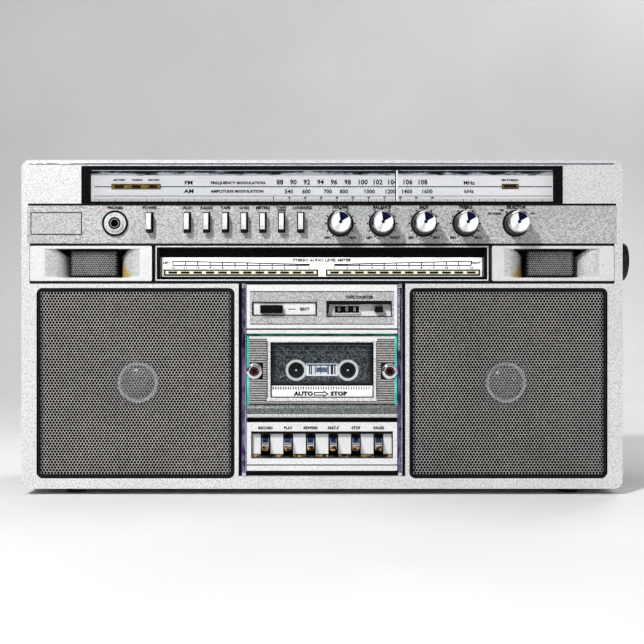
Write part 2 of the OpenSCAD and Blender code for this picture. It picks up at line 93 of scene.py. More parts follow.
def make(name, c1, c2, metal=0.0, rough=(0.3, 0.5), grain=900, stretch=(1, 1, 1),
         bump=0.1, bump_scale=None, coat=0.0, dirt=0.12, spec=0.5, sharp=(0.35, 0.65), emit=None, bdist=0.0002, tint=0.0):
    """Two-tone grained surface: c1 to c2 by a fine noise, darkened by a slow one, with its own roughness and bump."""
    m = bpy.data.materials.new(name)
    nt, b, out = _nodes(m)
    tc = nt.nodes.new("ShaderNodeTexCoord")
    co = tc.outputs["Object"]
    fine = _noise(nt, co, grain, 2.0, 0.6, stretch)
    slow = _noise(nt, co, 14, 4.0, 0.6)
    f = _range(nt, fine, 0, 1, *sharp)
    col = _mix(nt, f, c1, c2)
    d = _range(nt, slow, 0, dirt, 0.4, 0.75)
    col = _mix(nt, d, col, tuple(x * 0.45 for x in c1))
    if tint:
        # faint pink and green flecks in the lacquer
        fleck = _noise(nt, co, grain * 0.45, 2.0, 0.6)
        col = _mix(nt, _range(nt, fleck, tint, 0, 0.36, 0.46), col, (0.72, 0.50, 0.50))
        col = _mix(nt, _range(nt, fleck, 0, tint, 0.54, 0.64), col, (0.46, 0.62, 0.58))
    nt.links.new(col, b.inputs["Base Color"])
    r = _range(nt, fine, rough[0], rough[1], 0.3, 0.7)
    add = nt.nodes.new("ShaderNodeMath")
    add.operation = "ADD"
    nt.links.new(r, add.inputs[0])
    nt.links.new(_range(nt, slow, -0.04, 0.08, 0.35, 0.7), add.inputs[1])
    nt.links.new(add.outputs[0], b.inputs["Roughness"])
    b.inputs["Metallic"].default_value = metal
    b.inputs["Coat Weight"].default_value = coat
    b.inputs["Coat Roughness"].default_value = 0.06
    b.inputs["Specular IOR Level"].default_value = spec
    if emit:
        b.inputs["Emission Color"].default_value = (*emit[0], 1)
        b.inputs["Emission Strength"].default_value = emit[1]
    if bump:
        bn = nt.nodes.new("ShaderNodeBump")
        bn.inputs["Strength"].default_value = bump
        bn.inputs["Distance"].default_value = bdist
        h = fine if bump_scale is None else _noise(nt, co, bump_scale, 3.0, 0.6)
        nt.links.new(h, bn.inputs["Height"])
        nt.links.new(bn.outputs[0], b.inputs["Normal"])
    return m


def window(name, tint, dark, rough=0.03):
    """Thin clear plastic: mostly straight through, with a glossy surface and faint smears."""
    m = bpy.data.materials.new(name)
    nt, b, out = _nodes(m)
    nt.nodes.remove(b)
    tc = nt.nodes.new("ShaderNodeTexCoord")
    smear = _noise(nt, tc.outputs["Object"], 30, 5.0, 0.7, (0.4, 1, 1))
    tr = nt.nodes.new("ShaderNodeBsdfTransparent")
    tcol = _mix(nt, _range(nt, smear, 0, 1), tint, dark)
    nt.links.new(tcol, tr.inputs[0])
    gl = nt.nodes.new("ShaderNodeBsdfGlossy")
    gl.inputs["Color"].default_value = (0.9, 0.95, 1, 1)
    nt.links.new(_range(nt, smear, rough, rough + 0.10), gl.inputs["Roughness"])
    fr = nt.nodes.new("ShaderNodeFresnel")
    fr.inputs["IOR"].default_value = 1.45
    mx = nt.nodes.new("ShaderNodeMixShader")
    nt.links.new(fr.outputs[0], mx.inputs[0])
    nt.links.new(tr.outputs[0], mx.inputs[1])
    nt.links.new(gl.outputs[0], mx.inputs[2])
    nt.links.new(mx.outputs[0], out.inputs[0])
    return m


M = {}


def X(px):
    return (px - 321.2) * 0.7


def Z(py):
    return 5 + (520 - py) * 0.7


M["silver"] = make("silver_paint", (0.52, 0.52, 0.53), (0.86, 0.86, 0.865), 0.35, (0.28, 0.46), 1100, bump=0.25, dirt=0.15, sharp=(0.34, 0.56))
M["panel"] = make("brushed_aluminium", (0.36, 0.36, 0.37), (0.82, 0.82, 0.825), 0.4, (0.28, 0.42), 1100, (0.6, 1, 1), bump=0.18, dirt=0.35, sharp=(0.36, 0.60), tint=0.35)
M["grey_panel"] = make("grained_panel", (0.36, 0.36, 0.365), (0.76, 0.76, 0.765), 0.4, (0.28, 0.42), 1200, (0.8, 1, 1), bump=0.18, dirt=0.2, sharp=(0.38, 0.60), tint=0.2)
M["band"] = make("dark_satin_band", (0.05, 0.065, 0.06), (0.27, 0.30, 0.28), 0.5, (0.25, 0.4), 1100, bump=0.25, dirt=0.3, sharp=(0.40, 0.62), tint=0.3)
M["rib"] = make("grey_ribs", (0.26, 0.25, 0.24), (0.66, 0.64, 0.62), 0.3, (0.3, 0.45), 1300, bump=0.2, dirt=0.2, tint=0.3)
M["dark"] = make("dark_textured_plastic", (0.035, 0.037, 0.040), (0.085, 0.088, 0.092), 0.0, (0.42, 0.62), 1300, bump=0.6, dirt=0.25)
M["grip"] = make("grained_grip", (0.018, 0.018, 0.02), (0.05, 0.05, 0.053), 0.0, (0.45, 0.7), 700, bump=0.8, bdist=0.0005, dirt=0.2)
M["gloss"] = make("gloss_black", (0.003, 0.003, 0.004), (0.010, 0.010, 0.011), 0.0, (0.16, 0.28), 900, bump=0.05, coat=0.2, dirt=0.3, spec=0.25)
M["matt"] = make("matt_black", (0.004, 0.004, 0.005), (0.014, 0.014, 0.015), 0.0, (0.5, 0.7), 1200, bump=0.4, spec=0.2)
# the silvered scale emits a little light: a painted glow that keeps it bright behind the window
M["scale"] = make("silvered_scale", (0.74, 0.74, 0.75), (0.97, 0.97, 0.97), 0.0, (0.3, 0.5), 900, (0.12, 1, 1), bump=0.1, dirt=0.15, tint=0.18, emit=((1.0, 0.99, 0.98), 0.48))
M["white"] = make("white_print", (0.80, 0.80, 0.80), (0.93, 0.93, 0.92), 0.0, (0.35, 0.5), 1200, bump=0.1, dirt=0.08)
# black ink for print, also used for painted shadow strips on the dial pointer and in the counter recess
M["black_print_and_shade"] = make("black_ink_and_painted_shade", (0.003, 0.003, 0.004), (0.012, 0.012, 0.013), 0.0, (0.4, 0.6), 1800, bump=0.1, spec=0.15)
M["blue_ink"] = make("blue_ink", (0.01, 0.025, 0.10), (0.02, 0.05, 0.17), 0.0, (0.35, 0.5), 1800, bump=0.1)
M["light_print"] = make("pale_ink", (0.6, 0.6, 0.58), (0.85, 0.85, 0.83), 0.0, (0.35, 0.55), 1800, bump=0.1)
M["red"] = make("red_paint", (0.45, 0.03, 0.015), (0.75, 0.07, 0.03), 0.0, (0.2, 0.35), 900, bump=0.05, coat=0.3)
M["amber"] = make("amber_diffuser", (0.62, 0.40, 0.06), (0.90, 0.66, 0.16), 0.0, (0.2, 0.35), 700, bump=0.1, coat=0.3)
M["led"] = make("led_lens", (0.02, 0.012, 0.01), (0.09, 0.03, 0.02), 0.0, (0.1, 0.2), 900, bump=0.05, coat=0.5)
M["chrome"] = make("mirror_chrome", (0.62, 0.64, 0.67), (0.86, 0.87, 0.89), 1.0, (0.05, 0.14), 500, bump=0.05, dirt=0.25)
M["teal"] = make("tinted_edge", (0.03, 0.50, 0.38), (0.14, 0.86, 0.68), 0.4, (0.15, 0.3), 400, (1, 1, 0.2), bump=0.1, dirt=0.2)
M["deep_green"] = make("tinted_edge_painted_shade", (0.004, 0.05, 0.03), (0.02, 0.22, 0.14), 0.4, (0.15, 0.3), 500, (0.3, 1, 1), bump=0.1, dirt=0.2)
M["rail"] = make("blued_chrome", (0.05, 0.025, 0.11), (0.40, 0.31, 0.56), 1.0, (0.12, 0.3), 260, (1, 1, 0.35), bump=0.15, dirt=0.3)
M["satin"] = make("satin_chrome", (0.40, 0.42, 0.47), (0.72, 0.74, 0.78), 1.0, (0.16, 0.32), 700, (1.6, 1, 0.1), bump=0.15, dirt=0.2)
M["mesh2"] = make("fine_steel_mesh", (0.22, 0.22, 0.21), (0.62, 0.61, 0.59), 0.5, (0.3, 0.5), 1400, bump=0.15, dirt=0.3)
M["mesh"] = make("lacquered_steel_mesh", (0.22, 0.215, 0.205), (0.72, 0.70, 0.68), 0.5, (0.3, 0.5), 1400, bump=0.15, dirt=0.3)
M["cone"] = make("paper_cone", (0.008, 0.008, 0.009), (0.026, 0.025, 0.025), 0.0, (0.55, 0.8), 900, bump=0.6)
M["capring"] = make("dust_cap_painted_highlight", (0.50, 0.50, 0.50), (0.78, 0.78, 0.78), 0.3, (0.3, 0.4), 700, bump=0.1, dirt=0.05)
M["cloth"] = make("acoustic_cloth", (0.004, 0.004, 0.004), (0.012, 0.012, 0.012), 0.0, (0.8, 0.95), 1600, bump=0.5, spec=0.1)
def sky_tint(name):
    """Painted shadow and reflection along the top of the scale: ragged dark blue that thins out downwards, with a
    painted glow below it.
    """
    m = bpy.data.materials.new(name)
    nt, b, out = _nodes(m)
    tc = nt.nodes.new("ShaderNodeTexCoord")
    sep = nt.nodes.new("ShaderNodeSeparateXYZ")
    nt.links.new(tc.outputs["Object"], sep.inputs[0])
    slow = _noise(nt, tc.outputs["Object"], 45, 4.0, 0.7, (1, 1, 2.5))
    fine = _noise(nt, tc.outputs["Object"], 500, 3.0, 0.7, (0.2, 1, 1))
    h = _range(nt, sep.outputs["Z"], 0, 1, Z(153.6) * MM, Z(147.6) * MM)
    ad = nt.nodes.new("ShaderNodeMath")
    ad.operation = "ADD"
    nt.links.new(h, ad.inputs[0])
    nt.links.new(_range(nt, slow, -0.45, 0.45, 0.3, 0.7), ad.inputs[1])
    ad2 = nt.nodes.new("ShaderNodeMath")
    ad2.operation = "ADD"
    nt.links.new(ad.outputs[0], ad2.inputs[0])
    nt.links.new(_range(nt, fine, -0.25, 0.25, 0.3, 0.7), ad2.inputs[1])
    # painted shade colour: dark blue into near black
    shade_col = _mix(nt, _range(nt, slow, 0, 1, 0.45, 0.55), (0.02, 0.05, 0.20), (0.015, 0.02, 0.04))
    col = _mix(nt, _range(nt, ad2.outputs[0], 0, 1, 0.35, 0.75), (0.80, 0.82, 0.86), shade_col)
    nt.links.new(col, b.inputs["Base Color"])
    nt.links.new(_range(nt, fine, 0.3, 0.5), b.inputs["Roughness"])
    # painted glow: the pale part below the shade emits a little light
    b.inputs["Emission Color"].default_value = (1, 1, 1, 1)
    nt.links.new(_range(nt, ad2.outputs[0], 0.22, 0.0, 0.3, 0.6), b.inputs["Emission Strength"])
    return m


def shade_edges(m, hx, z0, z1, w):
    """Paint shade on a face towards the edges of the opening it is seen through."""
    nt = m.node_tree
    b = nt.nodes["Principled BSDF"]
    src = b.inputs["Base Color"].links[0].from_socket
    tc = nt.nodes.new("ShaderNodeTexCoord")
    sep = nt.nodes.new("ShaderNodeSeparateXYZ")
    nt.links.new(tc.outputs["Object"], sep.inputs[0])
    ab = nt.nodes.new("ShaderNodeMath")
    ab.operation = "ABSOLUTE"
    nt.links.new(sep.outputs["X"], ab.inputs[0])
    fac = _range(nt, ab.outputs[0], 1, 0, (hx - w) * MM, hx * MM)
    for f in (_range(nt, sep.outputs["Z"], 1, 0, (z1 - w) * MM, z1 * MM), _range(nt, sep.outputs["Z"], 0, 1, z0 * MM, (z0 + w) * MM)):
        mu = nt.nodes.new("ShaderNodeMath")
        mu.operation = "MULTIPLY"
        nt.links.new(fac, mu.inputs[0])
        nt.links.new(f, mu.inputs[1])
        fac = mu.outputs[0]
    nt.links.new(_mix(nt, fac, (0.004, 0.005, 0.006), src), b.inputs["Base Color"])


def horn_paint(name):
    """Recess beside the tweeter: shadow under the upper lip, warm reflection low down by the grille, pale rim."""
    m = make(name, (0.42, 0.42, 0.42), (0.80, 0.80, 0.80), 0.3, (0.3, 0.46), 900, bump=0.2, dirt=0.25, tint=0.4)
    nt = m.node_tree
    b = nt.nodes["Principled BSDF"]
    src = b.inputs["Base Color"].links[0].from_socket

    def math2(op, p, q):
        n = nt.nodes.new("ShaderNodeMath")
        n.operation = op
        for i, v in enumerate((p, q)):
            if isinstance(v, float):
                n.inputs[i].default_value = v
            else:
                nt.links.new(v, n.inputs[i])
        return n.outputs[0]

    tc = nt.nodes.new("ShaderNodeTexCoord")
    sep = nt.nodes.new("ShaderNodeSeparateXYZ")
    nt.links.new(tc.outputs["Object"], sep.inputs[0])
    z = sep.outputs["Z"]
    ax = math2("ABSOLUTE", sep.outputs["X"], 0.0)
    # distance outwards from the edge of the tweeter grille
    e = math2("SUBTRACT", math2("ABSOLUTE", math2("SUBTRACT", ax, 187.3 * MM), 0.0), 20.6 * MM)
    inside = math2("MULTIPLY", _range(nt, z, 1, 0, 200.5 * MM, 200.8 * MM), _range(nt, z, 0, 1, 177.2 * MM, 177.5 * MM))
    rim = math2("MAXIMUM", _range(nt, e, 0, 0.6, 17.5 * MM, 18.5 * MM), _range(nt, z, 0.6, 0, 177.8 * MM, 178.6 * MM))
    rim = math2("MAXIMUM", rim, _range(nt, inside, 0.6, 0, 0.0, 1.0))
    blot = _noise(nt, tc.outputs["Object"], 160, 3.0, 0.6)
    low = math2("SUBTRACT", math2("MULTIPLY", math2("SUBTRACT", 197.0 * MM, z), 0.5), e)
    low = math2("ADD", low, math2("MULTIPLY", math2("SUBTRACT", blot, 0.5), 12.0 * MM))
    gold = math2("MULTIPLY", _range(nt, low, 0, 0.85, -2.0 * MM, 2.5 * MM), _range(nt, ax, 1, 0, 186.0 * MM, 188.0 * MM))
    dark = math2("SUBTRACT", math2("SUBTRACT", z, 193.5 * MM), math2("MULTIPLY", e, 0.7))
    dark = math2("MAXIMUM", _range(nt, dark, 0, 1, -0.8 * MM, 0.8 * MM), _range(nt, e, 1, 0, 0.6 * MM, 1.4 * MM))
    col = _mix(nt, rim, src, (0.88, 0.88, 0.88))
    col = _mix(nt, math2("MULTIPLY", gold, inside), col, (0.62, 0.38, 0.08))
    col = _mix(nt, math2("MULTIPLY", dark, inside), col, (0.006, 0.006, 0.007))
    nt.links.new(col, b.inputs["Base Color"])
    return m


M["horn"] = horn_paint("tweeter_recess_paint")
M["warm"] = make("warm_brass", (0.30, 0.17, 0.04), (0.62, 0.40, 0.12), 0.9, (0.2, 0.35), 500, bump=0.1)
M["cream"] = make("pale_diffuser", (0.80, 0.76, 0.50), (0.95, 0.92, 0.74), 0.0, (0.25, 0.4), 900, bump=0.1)
M["dust"] = make("dust_cap", (0.05, 0.05, 0.052), (0.16, 0.16, 0.165), 0.2, (0.2, 0.35), 900, bump=0.2)
M["cassette"] = make("cassette_shell", (0.02, 0.035, 0.035), (0.80, 0.82, 0.78), 0.0, (0.28, 0.45), 800, bump=0.2, sharp=(0.46, 0.66), tint=0.35)
# painted shade round the edges of the door window on the cassette
shade_edges(M["cassette"], 40.4, 90.2, 123.2, 3.8)
# cream rings with a painted glow for the halo round the cassette's hub holes
M["glow"] = make("painted_glow_ring", (0.86, 0.86, 0.78), (1.0, 1.0, 0.92), 0.0, (0.3, 0.45), 700, bump=0.1, emit=((1.0, 0.98, 0.88), 0.45))
M["reel"] = make("white_nylon", (0.66, 0.66, 0.63), (0.85, 0.85, 0.82), 0.0, (0.3, 0.45), 800, bump=0.1)
M["tape"] = make("brown_tape", (0.03, 0.012, 0.006), (0.075, 0.035, 0.02), 0.1, (0.2, 0.35), 2200, bump=0.3)
M["steel"] = make("zinc_steel", (0.32, 0.33, 0.34), (0.60, 0.61, 0.62), 1.0, (0.25, 0.45), 600, bump=0.15)
M["rubber"] = make("foot_rubber", (0.012, 0.012, 0.012), (0.03, 0.03, 0.03), 0.0, (0.6, 0.85), 1100, bump=0.5)
M["board"] = make("board_lacquer", (0.01, 0.07, 0.035), (0.02, 0.14, 0.07), 0.0, (0.2, 0.4), 500, bump=0.2)
M["wrap"] = make("battery_sleeve", (0.45, 0.33, 0.10), (0.62, 0.47, 0.17), 0.6, (0.2, 0.35), 500, bump=0.1)
M["cap"] = make("silver_cap", (0.58, 0.58, 0.60), (0.93, 0.93, 0.94), 0.35, (0.2, 0.38), 1500, bump=0.15, dirt=0.12)
M["smoke"] = window("smoked_window", (0.94, 0.96, 0.98), (0.84, 0.87, 0.90))
M["clear"] = window("clear_window", (1.0, 1.0, 1.0), (0.96, 0.97, 0.99))
M["red_ring"] = make("red_ring", (0.45, 0.03, 0.03), (0.62, 0.06, 0.05), 0.0, (0.3, 0.45), 900, bump=0.1)
M["white_ring"] = make("white_ring", (0.7, 0.7, 0.68), (0.85, 0.85, 0.83), 0.0, (0.3, 0.45), 900, bump=0.1)


def spun(name):
    """Aluminium turned on a lathe: fine rings round the knob's own axis, with the bow-tie highlight painted into the
    colour.
    """
    m = bpy.data.materials.new(name)
    nt, b, out = _nodes(m)
    tc = nt.nodes.new("ShaderNodeTexCoord")
    sep = nt.nodes.new("ShaderNodeSeparateXYZ")
    nt.links.new(tc.outputs["Object"], sep.inputs[0])
    ang = nt.nodes.new("ShaderNodeMath")
    ang.operation = "ARCTAN2"
    nt.links.new(sep.outputs["Z"], ang.inputs[0])
    nt.links.new(sep.outputs["X"], ang.inputs[1])
    cmb = nt.nodes.new("ShaderNodeCombineXYZ")
    nt.links.new(ang.outputs[0], cmb.inputs["X"])
    ln = nt.nodes.new("ShaderNodeVectorMath")
    ln.operation = "LENGTH"
    cxz = nt.nodes.new("ShaderNodeCombineXYZ")
    nt.links.new(sep.outputs["X"], cxz.inputs["X"])
    nt.links.new(sep.outputs["Z"], cxz.inputs["Z"])
    nt.links.new(cxz.outputs[0], ln.inputs[0])
    nt.links.new(ln.outputs["Value"], cmb.inputs["Y"])
    # painted reflection: the turned face is bright except for one dark wedge, a little right of the top, and a faint
    # one opposite
    sh = nt.nodes.new("ShaderNodeMath")
    sh.operation = "SUBTRACT"
    sh.inputs[1].default_value = 1.12
    nt.links.new(ang.outputs[0], sh.inputs[0])
    sn = nt.nodes.new("ShaderNodeMath")
    sn.operation = "COSINE"
    nt.links.new(sh.outputs[0], sn.inputs[0])
    wedge = _range(nt, sn.outputs[0], 0, 1, 0.80, 0.85)
    faint = _range(nt, sn.outputs[0], 0.32, 0, -0.99, -0.90)
    hub = _range(nt, ln.outputs["Value"], 1, 0, 0.0010, 0.0018)
    mx1 = nt.nodes.new("ShaderNodeMath")
    mx1.operation = "MAXIMUM"
    nt.links.new(wedge, mx1.inputs[0])
    nt.links.new(faint, mx1.inputs[1])
    mx2 = nt.nodes.new("ShaderNodeMath")
    mx2.operation = "MAXIMUM"
    nt.links.new(mx1.outputs[0], mx2.inputs[0])
    nt.links.new(hub, mx2.inputs[1])
    inv = nt.nodes.new("ShaderNodeMath")
    inv.operation = "SUBTRACT"
    inv.inputs[0].default_value = 1.0
    nt.links.new(mx2.outputs[0], inv.inputs[1])
    face_light_mask = inv.outputs[0]
    rings = nt.nodes.new("ShaderNodeTexNoise")
    rings.inputs["Scale"].default_value = 1.0
    mp = nt.nodes.new("ShaderNodeMapping")
    mp.inputs["Scale"].default_value = (0.6, 2600, 1)
    nt.links.new(cmb.outputs[0], mp.inputs[0])
    nt.links.new(mp.outputs[0], rings.inputs["Vector"])
    base = _mix(nt, _range(nt, rings.outputs["Fac"], 0, 0.22), (1.0, 1.0, 1.0), (0.5, 0.5, 0.51))
    base = _mix(nt, face_light_mask, (0.006, 0.010, 0.05), base)
    nt.links.new(_range(nt, face_light_mask, 0.15, 0.5), b.inputs["Specular IOR Level"])
    nt.links.new(base, b.inputs["Base Color"])
    b.inputs["Metallic"].default_value = 0.2
    nt.links.new(_range(nt, rings.outputs["Fac"], 0.18, 0.36), b.inputs["Roughness"])
    bn = nt.nodes.new("ShaderNodeBump")
    bn.inputs["Strength"].default_value = 0.2
    bn.inputs["Distance"].default_value = 0.0001
    nt.links.new(rings.outputs["Fac"], bn.inputs["Height"])
    nt.links.new(bn.outputs[0], b.inputs["Normal"])
    return m


M["spun"] = spun("spun_aluminium")
M["sky"] = sky_tint("scale_top_painted_shade")
# white with a painted glow, for the cassette's window rims and the dial pointer
M["bright"] = make("painted_glow_white", (0.82, 0.84, 0.84), (0.97, 0.98, 0.98), 0.0, (0.3, 0.45), 1200, bump=0.1, dirt=0.05, emit=((1, 1, 1), 0.6))
M["pale_blue"] = make("pale_blue_label", (0.30, 0.45, 0.72), (0.70, 0.80, 0.95), 0.0, (0.3, 0.45), 700, bump=0.1)
M["hub"] = make("dark_hub", (0.002, 0.002, 0.003), (0.009, 0.009, 0.010), 0.0, (0.4, 0.55), 900, bump=0.1, spec=0.15)
M["led_red"] = make("dark_red_ring", (0.10, 0.008, 0.006), (0.22, 0.02, 0.015), 0.0, (0.25, 0.4), 900, bump=0.05)
M["hot"] = make("gold_reflection", (0.02, 0.010, 0.004), (0.72, 0.46, 0.18), 0.6, (0.25, 0.4), 420, (0.5, 1, 1), bump=0.1, sharp=(0.46, 0.60))
M["blue_reflection"] = make("painted_blue_reflection", (0.01, 0.03, 0.14), (0.10, 0.28, 0.62), 0.7, (0.12, 0.25), 420, (0.4, 1, 1), bump=0.05)
M["face"] = make("white_lacquer", (0.66, 0.66, 0.665), (0.88, 0.88, 0.88), 0.1, (0.3, 0.42), 1300, bump=0.15, dirt=0.08)
M["knuckle"] = make("rail_knuckle", (0.45, 0.52, 0.66), (0.85, 0.90, 0.97), 0.8, (0.15, 0.3), 500, bump=0.1)
M["skirt"] = make("knob_skirt", (0.006, 0.006, 0.007), (0.045, 0.045, 0.048), 0.5, (0.2, 0.36), 1200, bump=0.15)

# ------------------------------------------------------------------ geometry


class Geo:
    """Collects vertices (mm) and faces for one piece."""

    def __init__(self):
        self.v = []
        self.f = []
        self.m = []

    def add(self, verts, faces, mat=0):
        n = len(self.v)
        self.v += verts
        self.f += [tuple(i + n for i in f) for f in faces]
        self.m += [mat] * len(faces)
        return self

    def box(self, x0, x1, y0, y1, z0, z1, mat=0):
        v = [(x, y, z) for x in (x0, x1) for y in (y0, y1) for z in (z0, z1)]
        f = [(0, 1, 3, 2), (4, 6, 7, 5), (0, 4, 5, 1), (2, 3, 7, 6), (0, 2, 6, 4), (1, 5, 7, 3)]
        return self.add(v, f, mat)

    def prism(self, pts, y0, y1, mat=0):
        """pts in X-Z, anticlockwise seen from the front, from y0 (front) to y1 (back)."""
        n = len(pts)
        v = [(x, y0, z) for x, z in pts] + [(x, y1, z) for x, z in pts]
        f = [tuple(range(n)), tuple(range(2 * n - 1, n - 1, -1))]
        f += [(i, i + n, (i + 1) % n + n, (i + 1) % n) for i in range(n)]
        return self.add(v, f, mat)

    def side(self, pts, x0, x1, mat=0):
        """pts in Y-Z swept along X."""
        n = len(pts)
        v = [(x0, y, z) for y, z in pts] + [(x1, y, z) for y, z in pts]
        f = [tuple(range(n)), tuple(range(2 * n - 1, n - 1, -1))]
        f += [(i, i + n, (i + 1) % n + n, (i + 1) % n) for i in range(n)]
        return self.add(v, f, mat)

    def lathe(self, prof, c, axis="Y", seg=48, mat=0, close=True, wob=None):
        """prof: (radius, distance along axis); c: a point on the axis."""
        v, f = [], []
        for k, (r, t) in enumerate(prof):
            for i in range(seg):
                a = 2 * math.pi * i / seg
                rr = r if wob is None else wob(r, t, i)
                p, q = rr * math.cos(a), rr * math.sin(a)
                if axis == "Y":
                    v.append((c[0] + p, c[1] + t, c[2] + q))
                elif axis == "X":
                    v.append((c[0] + t, c[1] + p, c[2] + q))
                else:
                    v.append((c[0] + p, c[1] + q, c[2] + t))
        for k in range(len(prof) - 1):
            for i in range(seg):
                j = (i + 1) % seg
                f.append((k * seg + i, k * seg + j, (k + 1) * seg + j, (k + 1) * seg + i))
        if close:
            if prof[0][0] > 1e-6:
                f.append(tuple(range(seg - 1, -1, -1)))
            if prof[-1][0] > 1e-6:
                n = (len(prof) - 1) * seg
                f.append(tuple(range(n, n + seg)))
        return self.add(v, f, mat)

    def ring(self, x0, x1, z0, z1, w, y0, y1, mat=0):
        """Rectangular frame of width w, standing in X-Z."""
        self.box(x0, x1, y0, y1, z1 - w, z1, mat)
        self.box(x0, x1, y0, y1, z0, z0 + w, mat)
        self.box(x0, x0 + w, y0, y1, z0 + w, z1 - w, mat)
        return self.box(x1 - w, x1, y0, y1, z0 + w, z1 - w, mat)

    def obj(self, name, mats, body, bevel=0.0, seg=2, slot=None, origin=None, angle=35, replaces=()):
        o = origin or (0, 0, 0)
        me = bpy.data.meshes.new(name)
        me.from_pydata([((x - o[0]) * MM, (y - o[1]) * MM, (z - o[2]) * MM) for x, y, z in self.v], [], self.f)
        ob = bpy.data.objects.new(name, me)
        SC.collection.objects.link(ob)
        ob.location = [c * MM for c in o]
        for m in mats:
            me.materials.append(M[m])
        me.polygons.foreach_set("material_index", self.m)
        me.update()
        fix(ob)
        finish_look(ob, bevel, seg, angle)
        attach(ob, body)
        if replaces:
            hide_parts(*replaces)
        return ob


def fix(ob):
    import bmesh
    bm = bmesh.new()
    bm.from_mesh(ob.data)
    bmesh.ops.recalc_face_normals(bm, faces=bm.faces)
    bm.to_mesh(ob.data)
    bm.free()


def finish_look(ob, bevel=0.0, seg=2, angle=35):
    me = ob.data
    me.polygons.foreach_set("use_smooth", [True] * len(me.polygons))
    if bevel:
        b = ob.modifiers.new("edge", "BEVEL")
        b.width = bevel * MM
        b.segments = seg
        b.limit_method = "ANGLE"
        b.angle_limit = math.radians(angle)
        b.harden_normals = True
        b.use_clamp_overlap = True
    else:
        me.set_sharp_from_angle(angle=math.radians(angle))


def dress(node, mat, bevel=0.0, angle=40):
    """A carried-over CAD node: same vertices, welded and edge-rounded by modifiers."""
    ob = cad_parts[node]
    me = ob.data
    me.materials.clear()
    me.materials.append(M[mat])
    me.polygons.foreach_set("material_index", [0] * len(me.polygons))
    if "custom_normal" in me.attributes:
        me.attributes.remove(me.attributes["custom_normal"])
    w = ob.modifiers.new("weld", "WELD")
    w.merge_threshold = 0.000005
    me.polygons.foreach_set("use_smooth", [True] * len(me.polygons))
    if bevel:
        b = ob.modifiers.new("edge", "BEVEL")
        b.width = bevel * MM
        b.segments = 2
        b.limit_method = "ANGLE"
        b.angle_limit = math.radians(angle)
        b.harden_normals = True
    else:
        s = ob.modifiers.new("sharp", "EDGE_SPLIT")
        s.split_angle = math.radians(35)
    return ob


def text(name, items, mat, body, y, depth=0.1, face=(90, 0, 0), bold=0.028):
    """items: (string, x, z, cap height mm, align[, width scale]); every word joined into one thin raised mesh."""
    g = Geo()
    for it in items:
        s, x, z, size, align = it[:5]
        wide = it[5] if len(it) > 5 else 1.0
        cu = bpy.data.curves.new("t", "FONT")
        cu.body = s
        cu.size = size * 1.16 / 0.72
        cu.align_x = align
        cu.align_y = "CENTER"
        cu.extrude = depth / 2
        cu.offset = (bold * 1.8 if size > 2.4 else bold * 3.0) * size
        cu.resolution_u = 2
        cu.space_character = 1.05
        t = bpy.data.objects.new("t", cu)
        SC.collection.objects.link(t)
        bpy.context.view_layer.update()
        me = t.evaluated_get(bpy.context.evaluated_depsgraph_get()).to_mesh()
        v = [(x + p.co.x * wide, y - p.co.z, z + p.co.y) for p in me.vertices]
        g.add(v, [tuple(f.vertices) for f in me.polygons])
        bpy.data.objects.remove(t)
        bpy.data.curves.remove(cu)
    return g, name, mat, body


def put_text(t):
    g, name, mat, body = t
    return g.obj(name, [mat], body, 0)


# ------------------------------------------------------------------ carried-over CAD nodes
for node, mat, bev in [
        ("front_cabinet", "silver", 0.5), ("rear_cabinet", "dark", 0.5), ("dial_bezel", "gloss", 0.3),
        ("dial_window", "clear", 0.0), ("scale_plates", "scale", 0.0), ("indicator_leds", "amber", 0.15),
        ("control_panel", "panel", 0.25), ("phones_jack", "cap", 0.25), ("meter_bezel", "gloss", 0.25),
        ("tweeter_horns", "horn", 0.35), ("deck_rails", "rail", 0.35), ("deck_top_panel", "grey_panel", 0.2),
        ("eject_button", "gloss", 0.3), ("counter_reset_button", "gloss", 0.25), ("key_panel", "face", 0.3),
        ("door_window", "smoke", 0.0), ("cassette_shell", "cassette", 0.25), ("supply_reel", "hub", 0.0), ("takeup_reel", "hub", 0.0),
        ("supply_spindle", "hub", 0.0), ("takeup_spindle", "hub", 0.0), ("capstan_flywheel", "steel", 0.0),
        ("head_carriage", "steel", 0.15), ("tape_mechanism", "steel", 0.2), ("circuit_boards", "board", 0.0),
        ("batteries", "wrap", 0.4), ("rear_sockets", "matt", 0.3), ("rubber_feet", "rubber", 0.5),
        ("dial_pointer", "white", 0.1), ("battery_door", "dark", 0.3),
        ("antenna_mount", "chrome", 0.25), ("counter_units_wheel", "matt", 0.2), ("counter_slow_wheels", "matt", 0.2),
        ("speaker_drivers", "cone", 0.0), ("screws", "steel", 0.25)]:
    dress(node, mat, bev)
for k in ("record", "play", "rewind", "fast_forward", "stop", "pause"):
    dress(k + "_key", "satin", 0.35, 20)

# ------------------------------------------------------------------ perforated metal


